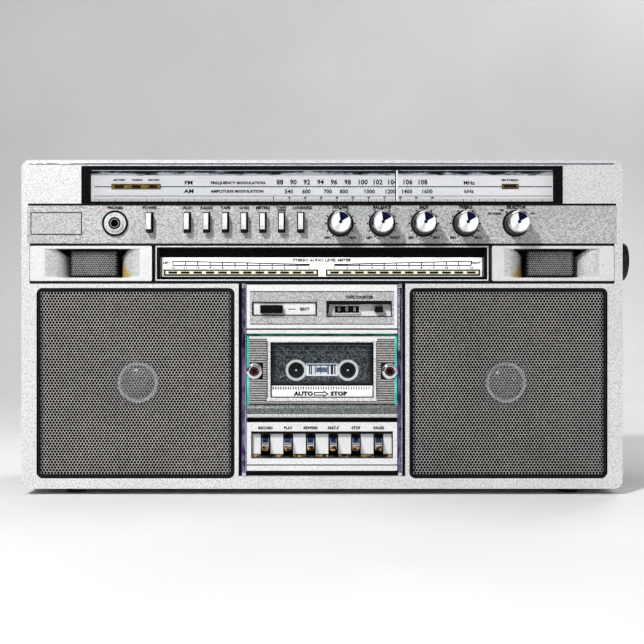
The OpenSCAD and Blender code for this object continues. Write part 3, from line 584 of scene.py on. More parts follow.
def perforated(name, x0, x1, z0, z1, y, px, pz, r, body, mats, slot, seg=8, margin=1.6, bow=0.0, corner=4.5, depth=0.7, edge=2.6):
    """Staggered round holes: each cell is a ring of quads round one hole, plus the hole's wall, framed by a folded edge."""
    g = Geo()
    nx = int((x1 - x0 - 2 * margin - px / 2) / px)
    nz = int((z1 - z0 - 2 * margin) / pz)
    ox = (x0 + x1) / 2 - (nx * px + px / 2) / 2
    oz = (z0 + z1) / 2 - nz * pz / 2
    cx, cz = (x0 + x1) / 2, (z0 + z1) / 2

    def yy(x, z):
        return y - bow * max(0.0, 1 - ((x - cx) / (x1 - cx)) ** 2)

    for j in range(nz):
        sh = px / 2 if j % 2 else 0.0
        for i in range(nx):
            a, b = ox + sh + i * px, oz + j * pz
            mx, mz = a + px / 2, b + pz / 2
            dx = min(mx - x0, x1 - mx)
            dz = min(mz - z0, z1 - mz)
            hole = not (dx < corner and dz < corner and math.hypot(corner - dx, corner - dz) > corner - margin)
            if not hole:
                g.add([(a, yy(a, b), b), (a + px, yy(a + px, b), b), (a + px, yy(a + px, b), b + pz), (a, yy(a, b), b + pz)], [(0, 1, 2, 3)])
                continue
            out, inn, back = [], [], []
            for k in range(seg):
                t = 2 * math.pi * (k + 0.5) / seg
                c, s = math.cos(t), math.sin(t)
                q = min(px / 2 / max(abs(c), 1e-6), pz / 2 / max(abs(s), 1e-6))
                # snap the corners so neighbouring cells meet
                ex, ez = mx + c * q, mz + s * q
                if seg == 8:
                    ex = mx + (px / 2 if c > 0.5 else -px / 2 if c < -0.5 else (px / 4 if c > 0 else -px / 4))
                    ez = mz + (pz / 2 if s > 0 else -pz / 2) if abs(c) < 0.5 else mz + (pz / 2 if s > 0 else -pz / 2)
                out.append((ex, yy(ex, ez), ez))
                hx, hz = mx + r * c, mz + r * s
                inn.append((hx, yy(hx, hz), hz))
                back.append((hx, yy(hx, hz) + depth, hz))
            n = seg
            f = [(k, (k + 1) % n, (k + 1) % n + n, k + n) for k in range(n)]
            f += [(k + n, (k + 1) % n + n, (k + 1) % n + 2 * n, k + 2 * n) for k in range(n)]
            g.add(out + inn, f[:n])
            g.add(inn + back, [(k, (k + 1) % n, (k + 1) % n + n, k + n) for k in range(n)], 1)
        # half cells at the row's ends
        for a, b2 in ((x0 + 0.6, ox + sh), (ox + sh + nx * px, x1 - 0.6)):
            zb = oz + j * pz
            g.add([(a, yy(a, zb), zb), (b2, yy(b2, zb), zb), (b2, yy(b2, zb), zb + pz), (a, yy(a, zb), zb + pz)], [(0, 1, 2, 3)], 1)
    # folded edge frame
    g.ring(x0, x1, z0, z1, margin * 0.55, y - 0.25, y + edge, 1)
    for za, zb in ((z0 + 0.6, oz), (oz + nz * pz, z1 - 0.6)):
        g.add([(x0 + 0.6, y, za), (x1 - 0.6, y, za), (x1 - 0.6, y, zb), (x0 + 0.6, y, zb)], [(0, 1, 2, 3)], 1)
    return g


for s, tag in ((-1, "left"), (1, "right")):
    x0, x1 = (71.8, 232.2) if s > 0 else (-232.2, -71.8)
    g = perforated("g", x0 + 0.8, x1 - 0.8, 14.8, 167.4, YF + 0.7, 2.6, 2.15, 1.09, "chassis", ["mesh"], "speaker_mesh", margin=1.1, depth=0.4)
    o = g.obj(f"woofer_grille_{tag}", ["mesh", "matt"], "chassis", 0, slot="speaker_mesh")
    if s < 0:
        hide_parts("speaker_grilles")
    else:
        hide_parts("speaker_grilles")
    tx = s * 187.3
    g = perforated("g", tx - 19.6, tx + 19.6, 178, 199.8, YF + 5.6, 1.9, 1.6, 0.76, "chassis", ["mesh"], "speaker_mesh", margin=0.8, bow=1.2, corner=0.5, depth=0.4, edge=10)
    g.obj(f"tweeter_grille_{tag}", ["mesh2", "matt"], "chassis", 0, slot="speaker_mesh")
    # black acoustic cloth behind the woofer grille, open over the cone
    g = Geo()
    cx, cz, R = s * 152, 91.1, 24.0
    n = 64
    xa, xb, za, zb = x0 + 0.3, x1 - 0.3, 14.3, 167.9
    ring_in, ring_out = [], []
    for k in range(n):
        a = 2 * math.pi * (k + 0.5) / n
        c, q = math.cos(a), math.sin(a)
        ring_in.append((cx + R * c, YF + 2.4, cz + R * q))
        t = min(((xb if c > 0 else xa) - cx) / c if abs(c) > 1e-6 else 1e9, ((zb if q > 0 else za) - cz) / q if abs(q) > 1e-6 else 1e9)
        ring_out.append((cx + t * c, YF + 2.4, cz + t * q))
    # snap the nearest rays to the corners
    for qx in (xa, xb):
        for qz in (za, zb):
            k = min(range(n), key=lambda i: math.hypot(ring_out[i][0] - qx, ring_out[i][2] - qz))
            ring_out[k] = (qx, YF + 2.4, qz)
    g.add(ring_in + ring_out, [(k, (k + 1) % n, (k + 1) % n + n, k + n) for k in range(n)])
    g.ring(x0 - 0.42, x1 + 0.42, 13.6, 168.6, 0.3, YF + 0.02, YF + 2.9)
    g.obj(f"grille_cloth_{tag}", ["cloth"], "chassis", 0)
    # rolled surround, cone ribs and bright dust cap ring; the pale ring is a painted highlight
    g = Geo()
    prof = [(69.5, -53.2), (67, -53.4)] + [(62 + 5 * math.cos(t), -53.4 - 1.5 * math.sin(t)) for t in [i * math.pi / 10 for i in range(11)]]
    prof += [(56, -53.0), (40, -43), (26, -34.2), (22, -31.5)]
    g.lathe([(r, t) for r, t in prof], (cx, 0, cz), "Y", 72, 0, close=False)
    g.lathe([(23, -31.8), (21, -36.4), (17.4, -42), (16.6, -44.2)], (cx, 0, cz), "Y", 72, 0, close=False)
    g.lathe([(16.8, -47.4), (16.4, -48.6), (14.8, -48.8), (13.8, -47.6)], (cx, 0, cz), "Y", 72, 1, close=False)
    g.lathe([(16.8, -47.4), (16.6, -42)], (cx, 0, cz), "Y", 72, 1, close=False)
    g.lathe([(13.8, -47.6), (12, -49.4), (8, -51.0), (4, -51.8), (0.3, -52)], (cx, 0, cz), "Y", 72, 2, close=False)
    g.obj(f"woofer_cone_{tag}", ["cone", "capring", "dust"], "chassis", 0)
    # tweeter dome with its plate
    g = Geo()
    tx, tz = s * 187.3, 188.9
    g.lathe([(9.6, -48.2), (9.6, -49.2), (8.6, -49.6), (7.8, -48.6)] + [(7.4 * math.cos(t), -48.4 - 3.0 * math.sin(t)) for t in [i * math.pi / 12 for i in range(6)]] + [(0.2, -51.4)], (tx, 0, tz), "Y", 40, 0, close=False)
    g.obj(f"tweeter_dome_{tag}", ["dust"], "chassis", 0)

# ------------------------------------------------------------------ case details
g = Geo()
g.box(-238.2, 238.2, YF - 0.05, YF + 2, 203.3, 204.9)
g.box(-239.6, 239.6, YF - 0.05, YF + 1, 235.9, 237.5)
g.box(-136.9, -135.9, YF - 0.02, YF + 3, 174.6, 202.9)
g.box(135.9, 136.9, YF - 0.02, YF + 3, 174.6, 202.9)
g.box(-238.2, 238.2, YF - 0.06, YF + 5.6, 172.2, 174.4)
g.obj("panel_shadow_gaps", ["matt"], "chassis", 0)

# dark inner wall behind the deck so that the gaps beside the rails read black: matt black sheets as painted shade in
# the gaps
g = Geo()
for s in (-1, 1):
    g.box(*sorted((s * 65.6, s * 67.9)), YF + 3.5, YF + 4.5, 15.4, 172)
g.box(-67.9, 67.9, YF + 3.6, YF + 5, 15.4, 19.5)
g.box(-61, 61, YF + 6.5, YF + 7.5, 57.4, 62.6)
g.box(-61.6, 61.6, YF - 0.05, YF + 0.4, 134.6, 135.7)
g.box(-61, 61, YF + 3.4, YF + 4.4, 131.3, 132.2)
g.obj("deck_gap_shade", ["matt"], "chassis", 0)

g = Geo()
for s in (-1, 1):
    for z0, z1 in ((168.6, 172.2), (15.6, 18.2)):
        g.box(*sorted((s * 61.9, s * 65.4)), YF - 0.3, YF + 2.6, z0, z1)
g.obj("rail_knuckles", ["knuckle"], "chassis", 0.5)
# painted highlights: thin pale strips along the rails
g = Geo()
g.box(-62.35, -61.85, YF - 0.05, YF + 0.5, 19, 168)
g.box(62.0, 63.4, YF - 0.05, YF + 0.5, 118, 168)
g.box(64.9, 65.4, YF - 0.05, YF + 0.5, 19, 168)
g.obj("rail_highlights", ["knuckle"], "chassis", 0.1)

# blank outlined name plate
g = Geo()
g.ring(-237.5, -195.8, 212.2, 230.4, 0.5, YF - 0.35, YF + 0.2, 0)
g.box(-237, -196.3, YF - 0.05, YF + 0.15, 212.7, 229.9, 1)
g.obj("name_plate", ["black_print_and_shade", "panel"], "chassis", 0.08)

# thin chrome strip along the top edge and the seam line
g = Geo()
g.box(-238, 238, YF - 0.3, YF + 0.3, 269.2, 270.4)
g.obj("top_strip", ["chrome"], "chassis", 0.15)

# ------------------------------------------------------------------ tuner dial print
yd = -48.12
g = Geo()
for a, b in ((53, 73.9), (131, 533), (552.6, 592)):
    g.box(X(a), X(b), yd, yd + 0.1, Z(166.9), Z(165.8), 1)
g.box(X(53), X(592), yd, yd + 0.1, Z(177.6), Z(177.0), 0)
g.box(X(50), X(592), yd, yd + 0.1, Z(185.5), Z(185.0), 0)
for k in range(-113, 176):
    px = 264 + 1.867 * k
    h = (184.4, 0.26) if k % 10 == 0 else (183.6, 0.16) if k % 5 == 0 else (182.9, 0.11)
    g.box(X(px) - h[1], X(px) + h[1], yd, yd + 0.1, Z(h[0]), Z(180.4), 1)
for px in (271.6, 287.4, 303.3, 319.4, 335.3, 351.4, 369.1, 386.6, 404, 421.9, 439.6):
    g.box(X(px) - 0.16, X(px) + 0.16, yd, yd + 0.1, Z(165.8), Z(164.4), 0)
for px in (282.2, 302.8, 328, 347, 376.9, 401.6, 421, 445):
    g.box(X(px) - 0.16, X(px) + 0.16, yd, yd + 0.1, Z(168.6), Z(167.2), 0)
g.obj("dial_lines", ["black_print_and_shade", "blue_ink"], "chassis", 0)
g = Geo()
# painted shadow and reflection strip along the top of the scale
g.box(X(49), X(595), yd - 0.03, yd + 0.1, Z(153.4), Z(147.5), 0)
g.obj("dial_top_painted_shade", ["sky"], "chassis", 0)
it = [("FM", X(164), Z(161.8), 2.7, "CENTER", 1.25), ("AM", X(164.4), Z(171.8), 2.7, "CENTER", 1.25),
      ("FREQUENCY MODULATION", X(190), Z(162), 1.9, "LEFT", 1.12), ("AMPLITUDE MODULATION", X(190), Z(171.9), 1.9, "LEFT", 1.12),
      ("MHz", X(494.5), Z(162), 2.6, "CENTER", 1.1), ("kHz", X(494.5), Z(171.9), 2.6, "CENTER", 1.1),
      ("FM STEREO", X(542.8), Z(158.8), 1.5, "CENTER", 1.1),
      ("BATTERY", X(82.5), Z(158.6), 1.4, "CENTER"), ("TUNING", X(103), Z(158.6), 1.4, "CENTER"), ("RECORD", X(123), Z(158.6), 1.4, "CENTER")]
for s, px in zip(range(88, 109, 2), (271.6, 287.4, 303.3, 319.4, 335.3, 351.4, 369.1, 386.6, 404, 421.9, 439.6)):
    it.append((str(s), X(px), Z(161.2), 3.5, "CENTER", 0.95))
for s, px in ((540, 282.2), (600, 302.8), (700, 328), (800, 347), (1000, 376.9), (1200, 401.6), (1400, 421), (1600, 445)):
    it.append((str(s), X(px), Z(172.2), 2.9, "CENTER", 0.95))
for i in range(11):
    it.append((str(i * 10), X(264 + 18.7 * i), Z(179.3), 1.3, "CENTER"))
put_text(text("dial_lettering", it, "black_print_and_shade", "chassis", yd, 0.1))
g = Geo()
px = 409.06
# white face with a painted glow; the black strip on its left is painted shadow
g.box(X(px) - 0.75, X(px) + 0.75, -52.75, -52.6, 239.8, 266.2, 0)
g.box(X(px) - 1.4, X(px) - 0.75, -52.75, -51.6, 239.8, 266.2, 1)
g.obj("dial_pointer_face", ["bright", "black_print_and_shade"], "dial_pointer", 0)
# dark LED windows in the amber bar
g = Geo()
for a, b in ((77, 88), (97.6, 107.8), (117.4, 127.6)):
    g.box(X(a), X(b), -49.75, -49.2, Z(168.1), Z(164.9))
g.box(X(535.4), X(550.4), -49.75, -49.2, Z(167.8), Z(164.5))
g.obj("dial_led_lenses", ["led"], "chassis", 0.1)
g = Geo()
g.ring(X(73.4), X(131.2), Z(169.6), Z(163.2), 0.45, -49.35, -48.2)
g.ring(X(533), X(552.8), Z(169.3), Z(163.2), 0.45, -49.35, -48.2)
g.obj("dial_led_frames", ["led"], "chassis", 0)

# ------------------------------------------------------------------ meter print
ym = -53.78
g = Geo()
for s in (-1, 1):
    for i in range(12):
        xc = s * (10.3 + i * 10.17)
        g.box(xc - 0.42, xc + 0.42, ym, ym + 0.1, 187.2, 188.1 + 2.7 * (i * 10.17) / 112.0)
    # wedge that widens outwards
    for q in ([(s * 10, 187.65), (s * 122.5, 190.35), (s * 122.5, 191.25), (s * 10, 188.55)], [(s * 10, 186.85), (s * 122.5, 186.85), (s * 122.5, 187.75), (s * 10, 187.75)]):
        g.prism(q[::-1] if s < 0 else q, ym, ym + 0.1)
    g.box(*sorted((s * 2.6, s * 129.6)), ym, ym + 0.1, 183.75, 184.0)
g.box(-0.25, 0.25, ym, ym + 0.1, 178.6, 186)
g.ring(-130.6, 130.6, 178.7, 193.2, 0.25, ym, ym + 0.1)
for s in (-1, 1):
    g.ring(*sorted((s * 3.2, s * 129.4)), 179.0, 184.0, 1.05, -54.6, ym, 0)
g.obj("meter_lines", ["black_print_and_shade"], "chassis", 0)
it = [("STEREO AUDIO LEVEL METER", 0, 191.4, 1.8, "CENTER", 1.2), ("LEFT", -130.0, 189.4, 1.6, "LEFT"), ("RIGHT", 130.0, 189.4, 1.6, "RIGHT")]
for s in (-1, 1):
    for i in range(12):
        it.append((str(i + 1), s * (10.3 + i * 10.17), 185.4, 1.5, "CENTER", 1.25))
put_text(text("meter_lettering", it, "black_print_and_shade", "chassis", ym, 0.1, bold=0.03))
g = Geo()
for s in (-1, 1):
    for i in range(12):
        xc = s * (10.3 + i * 10.17)
        g.box(xc - 3.45, xc + 3.45, -54.78, -54.3, 180.65, 182.3)
g.obj("meter_led_lenses", ["black_print_and_shade"], "chassis", 0.1)
g = Geo()
for s in (-1, 1):
    g.box(*sorted((s * 4.6, s * 128.0)), -54.5, -54.2, 180.0, 182.9)
g.obj("meter_diffusers", ["cream"], "chassis", 0)
g = Geo()
g.ring(-135.7, 135.7, 174.5, 202.9, 1.1, YF - 0.55, YF + 0.5)
g.obj("meter_rim", ["cap"], "chassis", 0.2)

# ------------------------------------------------------------------ control row
keys = {"power": -140.4, "aux": -109.8, "radio": -94, "tape": -78.7, "chrome_tape": -63.4, "meters": -48.2, "stereo_wide": -33, "loudness": -17.3}
for k, x in keys.items():
    g = Geo()
    z0, z1 = 222.1 - 7.6, 222.1 + 7.6
    x0, x1 = x - 2.25, x + 2.25
    # key body in gloss black: painted shade for the key's sides
    g.side([(-51.4, z0), (YF - 5.3, z0), (YF - 6.3, z0 + 1.4), (YF - 6.3, z1 - 0.5), (YF - 6.0, z1), (-51.4, z1)], x0, x1, 2)
    g.side([(YF - 6.0, z0 + 1.5), (YF - 6.5, z0 + 1.6), (YF - 6.5, z1 - 0.7), (YF - 6.0, z1 - 0.6)], x0 + 0.3, x1 - 0.3, 0)
    g.box(x - 1.2, x + 1.2, -52, -48.4, 219.1, 225.1, 0)
    for i in range(3):
        g.box(x0 + 0.7, x1 - 0.7, YF - 6.62, YF - 6.3, z0 + 2.6 + i * 0.8, z0 + 2.85 + i * 0.8, 1)
    g.obj(k + "_key_cap", ["face", "steel", "gloss"], k + "_key", 0.25, slot="key_cap", replaces=[k + "_key"])
g = Geo()
for x in keys.values():
    g.ring(x - 3.0, x + 3.0, 222.1 - 8.4, 222.1 + 8.4, 0.45, YF - 0.15, YF + 0.5)
g.obj("key_slot_rims", ["gloss"], "chassis", 0)

knobs = [("volume", 14.9, 9.4), ("balance", 49, 9.4), ("bass", 83.1, 9.4), ("treble", 117, 9.4), ("selector", 158, 9.4)]
for k, x, r in knobs:
    g = Geo()
    seg = 96
    yb, yt = YF - 2.2, YF - 16
    wob = lambda rr, t, i, r=r: rr * (1 - 0.022 * (i % 2)) if -73.0 < t < -61 and rr > r - 1.0 else rr
    # skirt
    g.lathe([(r + 0.4, YF - 0.6), (r + 0.4, YF - 1.8), (r, YF - 2.2)], (x, 0, 221.3), "Y", seg, 1, close=True)
    # knurled barrel
    g.lathe([(r, yb), (r, yb - 0.6), (r - 0.05, yb - 0.8), (r - 0.3, yt + 2.4), (r - 0.45, yt + 2.2)], (x, 0, 221.3), "Y", seg, 1, close=False, wob=wob)
    # polished edge and spun face
    g.lathe([(r - 0.45, yt + 2.2), (r - 0.45, yt + 1.3), (r - 1.2, yt + 0.35), (r - 1.9, yt + 0.15)], (x, 0, 221.3), "Y", seg, 2, close=False)
    g.lathe([(r - 1.9, yt + 0.15), (r - 2.2, yt + 0.6), (r * 0.55, yt + 1.0), (r * 0.2, yt + 1.1), (0.05, yt + 1.12)], (x, 0, 221.3), "Y", seg, 0, close=False)
    # pointer line, printed on the face and rim
    g.box(x - 0.45, x + 0.45, yt + 0.0, yt + 1.2, 221.3 + r * 0.42, 221.3 + r - 1.2, 3)
    g.lathe([(3, YF - 1), (3, -44)], (x, 0, 221.3), "Y", 24, 1)
    g.obj(k + "_knob_body", ["spun", "skirt", "chrome", "black_print_and_shade"], k + "_knob", 0, slot="spun_knob", origin=(x, -60, 221.3), replaces=[k + "_knob"])
yp = YF + 0.02
# black disc round each knob's base: painted shadow
g = Geo()
for k, x, r in knobs:
    g.lathe([(r + 1.5, -0.02), (r + 1.5, 0.1)], (x, yp - 0.1, 221.3), "Y", 56, 0)
g.obj("knob_base_shadows", ["matt"], "chassis", 0)
g = Geo()
for k, x, r in knobs[:4]:
    for i in range(11):
        a = math.radians(-60 + 30 * i + 0) + math.radians(0)
        a = math.radians(240 - 30 * i)
        g.lathe([(0.72, -0.12), (0.72, 0.1)], (x + 11.9 * math.cos(a), yp, 221.3 + 11.9 * math.sin(a)), "Y", 10)
for a in (50, 90, 130):
    t = math.radians(a)
    g.lathe([(0.72, -0.12), (0.72, 0.1)], (158 + 11.9 * math.cos(t), yp, 221.3 + 11.9 * math.sin(t)), "Y", 10)
g.obj("knob_dots", ["black_print_and_shade"], "chassis", 0)
zt = 234.0
it = [("PHONES", -168.6, zt - 0.1, 2.0, "CENTER"), ("POWER", -140.4, zt - 0.1, 2.0, "CENTER"), ("AUX", -109.8, zt - 0.1, 2.0, "CENTER"),
      ("RADIO", -94, zt - 0.1, 2.0, "CENTER"), ("TAPE", -78.7, zt - 0.1, 2.0, "CENTER"), ("CrO2", -63.4, zt - 0.1, 2.0, "CENTER"),
      ("METERS", -48.2, zt - 0.1, 2.0, "CENTER"), ("STEREO", -33, zt + 0.2, 1.5, "CENTER"), ("WIDE", -33, zt - 2.1, 1.6, "CENTER"), ("LOUDNESS", -15.8, zt - 0.1, 2.0, "CENTER", 0.92),
      ("VOLUME", 14.9, 234.4, 2.0, "CENTER"), ("BALANCE", 49, 234.4, 2.0, "CENTER"), ("BASS", 83.1, 234.4, 2.0, "CENTER"), ("TREBLE", 117, 234.4, 2.0, "CENTER"),
      ("SELECTOR", 158, 234.4, 2.0, "CENTER"), ("FM STEREO", 141, 229.2, 1.4, "CENTER"), ("FM", 146.4, 232.0, 1.4, "CENTER"), ("AM", 171.5, 229.4, 1.4, "CENTER")]
for x in (14.9, 83.1, 117):
    it += [("MIN", x - 10.2, 209.6, 1.6, "CENTER"), ("MAX", x + 10.2, 209.6, 1.6, "CENTER")]
it += [("LEFT", 38.6, 209.6, 1.6, "CENTER"), ("RIGHT", 59.6, 209.6, 1.6, "CENTER")]
put_text(text("panel_lettering", it, "black_print_and_shade", "chassis", YF + 0.04, 0.12))
# headphone socket: dark throat ring, and an outer black ring round the dish that is painted shadow
g = Geo()
g.lathe([(10.6, YF - 0.9), (10.5, YF - 1.25), (9.2, YF - 1.3), (8.8, YF - 0.9)], (-168.6, 0, 221.3), "Y", 64, 0, close=False)
g.lathe([(5.9, YF - 1.0), (5.9, YF - 2.0), (5.2, YF - 2.0), (5.2, YF - 1.0)], (-168.6, 0, 221.3), "Y", 48, 0, close=False)
g.lathe([(3.15, YF - 2.7), (3.15, -44)], (-168.6, 0, 221.3), "Y", 32, 0, close=False)
g.lathe([(4.9, YF - 2.62), (4.9, YF - 2.75), (3.6, YF - 2.75), (3.6, YF - 2.62)], (-168.6, 0, 221.3), "Y", 40, 0, close=False)
g.obj("phones_throat_and_shadow", ["gloss", "gloss"], "chassis", 0)

# ------------------------------------------------------------------ deck: top panel, counter
g = Geo()
g.box(-58.5, 58.5, YF - 0.06, YF + 0.4, 165.4, 166.0)
g.box(-58.5, 58.5, YF - 0.06, YF + 0.4, 138.9, 139.5)
g.ring(-57.0, -4.2, 146.1, 157.4, 0.75, YF - 0.14, YF + 0.4)
g.box(-57.0, -56.0, YF - 0.14, YF + 0.4, 146.1, 157.4)
g.box(-5.3, -4.2, YF - 0.14, YF + 0.4, 146.1, 157.4)
g.ring(3.6, 56.9, 145.1, 158.2, 0.7, YF - 0.14, YF + 0.4)
# black band along the top of the counter recess and a tapered one down its left side: painted shade in the recess
g.box(4.2, 56.4, YF - 0.1, YF + 4.2, 155.4, 157.9)
g.prism([(4.2, 155.6), (4.2, 146.6), (5.4, 149.2), (6.0, 155.6)], YF - 0.08, YF + 3.8)
g.box(-27.6, -21.5, YF + 0.75, YF + 0.95, 151.1, 151.7)
g.obj("deck_panel_lines_and_shade", ["black_print_and_shade"], "chassis", 0)
g = Geo()
for z0, z1 in ((166.1, 171.3), (135.8, 138.8), (131.5, 134.5)):
    g.box(-61.4, 61.4, YF - 0.04, YF + 0.3, z0, z1)
for s in (-1, 1):
    g.box(*sorted((s * 58.8, s * 61.4)), YF - 0.04, YF + 0.3, 138.8, 166.1)
# pale floors of the counter recess and the eject frame
for x0, x1, z0, z1 in ((4.3, 9.4, 145.8, 157.5), (31.5, 43.1, 145.8, 157.5), (50.1, 56.2, 145.8, 157.5), (9.4, 31.5, 145.8, 147.4),
                       (9.4, 31.5, 155.2, 157.5), (43.1, 50.1, 145.8, 148.8), (43.1, 50.1, 153.8, 157.5)):
    g.box(x0, x1, -53.08, -52.9, z0, z1)
for x0, x1, z0, z1 in ((-56.4, -50.5, 146.7, 156.8), (-31.8, -4.8, 146.7, 156.8), (-50.5, -31.8, 146.7, 148.0), (-50.5, -31.8, 154.8, 156.8)):
    g.box(x0, x1, YF + 0.86, YF + 1.0, z0, z1)
g.obj("deck_panel_borders", ["face"], "chassis", 0)
put_text(text("counter_lettering", [("TAPE COUNTER", 30.5, 161.0, 2.1, "CENTER", 0.86)], "black_print_and_shade", "chassis", YF - 0.02, 0.12))
put_text(text("eject_lettering", [("EJECT", -14.2, 151.4, 1.9, "CENTER", 0.95)], "black_print_and_shade", "chassis", YF + 0.84, 0.12))
g = Geo()
g.ring(9.4, 31.5, 147.4, 155.2, 1.1, YF + 3.6, YF + 5)
g.obj("counter_window_rim", ["cap"], "chassis", 0.2)
# digits wrapped round the wheels
for node, wheels in (("counter_units_wheel", [(26.8, 8)]), ("counter_slow_wheels", [(14, 0), (20.4, 0)])):
    g = Geo()
    for xc, first in wheels:
        for d in range(10):
            cu = bpy.data.curves.new("t", "FONT")
            cu.body = str(d)
            cu.size = 5.4
            cu.align_x = "CENTER"
            cu.align_y = "CENTER"
            cu.resolution_u = 2
            cu.offset = 0.07
            t = bpy.data.objects.new("t", cu)
            SC.collection.objects.link(t)
            bpy.context.view_layer.update()
            me = t.evaluated_get(bpy.context.evaluated_depsgraph_get()).to_mesh()
            a0 = math.radians(36 * (d - first))
            vs = []
            for p in me.vertices:
                a = a0 + p.co.y / 8.36
                vs.append((xc + p.co.x * 0.9, -43.2 - 8.36 * math.cos(a), 151.3 + 8.36 * math.sin(a)))
            g.add(vs, [tuple(f.vertices) for f in me.polygons])
            bpy.data.objects.remove(t)
            bpy.data.curves.remove(cu)
    g.obj(node + "_digits", ["light_print"], node, 0)
    g = Geo()

# ------------------------------------------------------------------ deck: keys
dk = [(i - 2.5) * 18.45 for i in range(6)]
for x, k in zip(dk, ("record", "play", "rewind", "fast_forward", "stop", "pause")):
    g = Geo()
    # polished cap face with a stepped lower edge and grip grooves
    g.side([(-62.95, 40.6), (-63.1, 41.4), (-62.7, 42.5), (-55.2, 48.15), (-50.2, 47.95), (-50.2, 47.0), (-55, 47.2), (-61.9, 41.8), (-62.3, 40.7)], x - 2.55, x + 2.55, 0)
    for i in range(3):
        t = 0.25 + 0.16 * i
        yy, zz = -62.7 + 7.5 * t, 42.5 + 5.65 * t
        g.box(x - 2.3, x + 2.3, yy - 0.35, yy + 0.25, zz - 0.15, zz + 0.25, 1)
    # painted reflection: blue band across the cap's upper face
    g.side([(-61.9, 43.25), (-62.05, 43.15), (-58.1, 46.15), (-57.95, 46.25)], x - 2.3, x + 2.3, 2)
    # painted reflection: gold strip under the face
    g.side([(-62.2, 40.3), (-62.45, 40.3), (-61.6, 36.4), (-61.3, 36.4)], x - 2.2, x + 2.2, 3)
    g.obj(k + "_key_face", ["chrome", "black_print_and_shade", "blue_reflection", "hot"], k + "_key", 0)
g = Geo()
xs = [-57] + dk + [57]
edges = [-57.0] + [v for x in dk for v in (x - 3.7, x + 3.7)] + [57.0]
for i in range(0, len(edges), 2):
    a, b = edges[i], edges[i + 1]
    g.box(a, b, YF + 2.6, YF + 6.9, 33.0, 49.7, 0)
g.obj("key_slot_plates", ["face"], "chassis", 0.45)
g = Geo()
for x in dk:
    g.ring(x - 3.95, x + 3.95, 30.6, 51.1, 0.4, YF + 2.4, YF + 7, 0)
g.ring(-57.7, 57.7, 29.9, 51.8, 0.8, YF - 0.12, YF + 0.4, 0)
g.box(-57, 57, YF - 0.12, YF + 2.5, 49.9, 51.2, 0)
g.obj("key_slot_shadows", ["matt"], "chassis", 0)
# gold ledges in and between the key slots: painted reflection
g = Geo()
for x in dk:
    g.box(x - 3.6, x + 3.6, YF + 2.8, YF + 6.9, 30.62, 31.1)
for i in range(0, len(edges), 2):
    g.side([(YF + 6.9, 33.0), (YF + 2.8, 32.4), (YF + 2.8, 30.7), (YF + 6.9, 30.7)], edges[i] + 0.1, edges[i + 1] - 0.1)
g.obj("key_slot_deflectors", ["hot"], "chassis", 0)
g = Geo()
g.box(-61.2, 61.2, YF - 0.2, YF + 0.3, 57.8, 59.3, 0)
g.box(-61.4, 61.4, YF - 0.06, YF + 0.3, 24.0, 24.8, 1)
g.obj("key_panel_lip", ["face", "matt"], "chassis", 0)
it = [(s, x, 54.5, 1.95, "CENTER", 0.92) for s, x in zip(("RECORD", "PLAY", "REWIND", "FAST-F", "STOP", "PAUSE"), dk)]
put_text(text("key_lettering", it, "black_print_and_shade", "chassis", YF - 0.02, 0.12))

# ------------------------------------------------------------------ cassette door
g = Geo()
yd0 = YF - 0.6
g.box(-60.2, -44.9, yd0, YF + 3.6, 74.6, 130.2, 0)
g.box(44.9, 60.2, yd0, YF + 3.6, 74.6, 130.2, 0)
g.box(-44.9, 44.9, yd0, YF + 3.6, 125.4, 130.2, 0)
g.box(-44.9, 44.9, yd0, YF + 3.6, 74.6, 79.0, 0)
# fine horizontal ribs beside the window, over a matt black ground that is painted shade between them
g.box(-59.2, -45.0, yd0 - 0.06, yd0 + 0.3, 75.0, 127.4, 2)
g.box(45.0, 59.2, yd0 - 0.06, yd0 + 0.3, 75.0, 127.4, 2)
g.box(-45.0, 45.0, yd0 - 0.06, yd0 + 0.3, 75.0, 76.5, 2)
for i in range(27):
    z = 75.5 + i * 1.92
    for s in (-1, 1):
        if abs(z + 0.6 - 100.9) < 7.4:
            g.box(*sorted((s * 45.2, s * 48.0)), yd0 - 0.4, yd0 + 0.1, z, z + 1.2, 4)
        else:
            g.box(*sorted((s * 45.2, s * 59.1)), yd0 - 0.4, yd0 + 0.1, z, z + 1.2, 4)
g.box(-45.2, 45.2, yd0 - 0.4, yd0 + 0.1, 75.3, 76.2, 4)
# window frame
g.box(-44.2, 44.2, YF - 1.6, YF + 1, 124.3, 125.6, 1)
g.box(-44.2, 44.2, YF - 1.6, YF + 1, 76.6, 79.6, 1)
g.box(-44.2, -41.7, YF - 1.6, YF + 1, 79.6, 124.3, 1)
g.box(41.7, 44.2, YF - 1.6, YF + 1, 79.6, 124.3, 1)
# rounded lower band
g.side([(YF + 3.6, 64.2), (YF - 1.2, 64.2), (YF - 2.4, 65.2), (YF - 3.0, 67), (YF - 3.1, 69.4), (YF - 2.6, 71.6), (YF - 1.4, 73.2), (YF - 0.4, 73.6), (YF + 3.6, 73.6)], -61.1, 61.1, 5)
g.side([(YF - 0.2, 64.4), (YF - 0.2, 63.2), (YF - 1.3, 63.2), (YF - 2.5, 64.2), (YF - 3.05, 65.9), (YF - 2.3, 66.2), (YF - 1.2, 64.4)], -61.1, 61.1, 1)
g.box(-61, 61, YF - 0.2, YF + 3.4, 73.4, 74.8, 2)
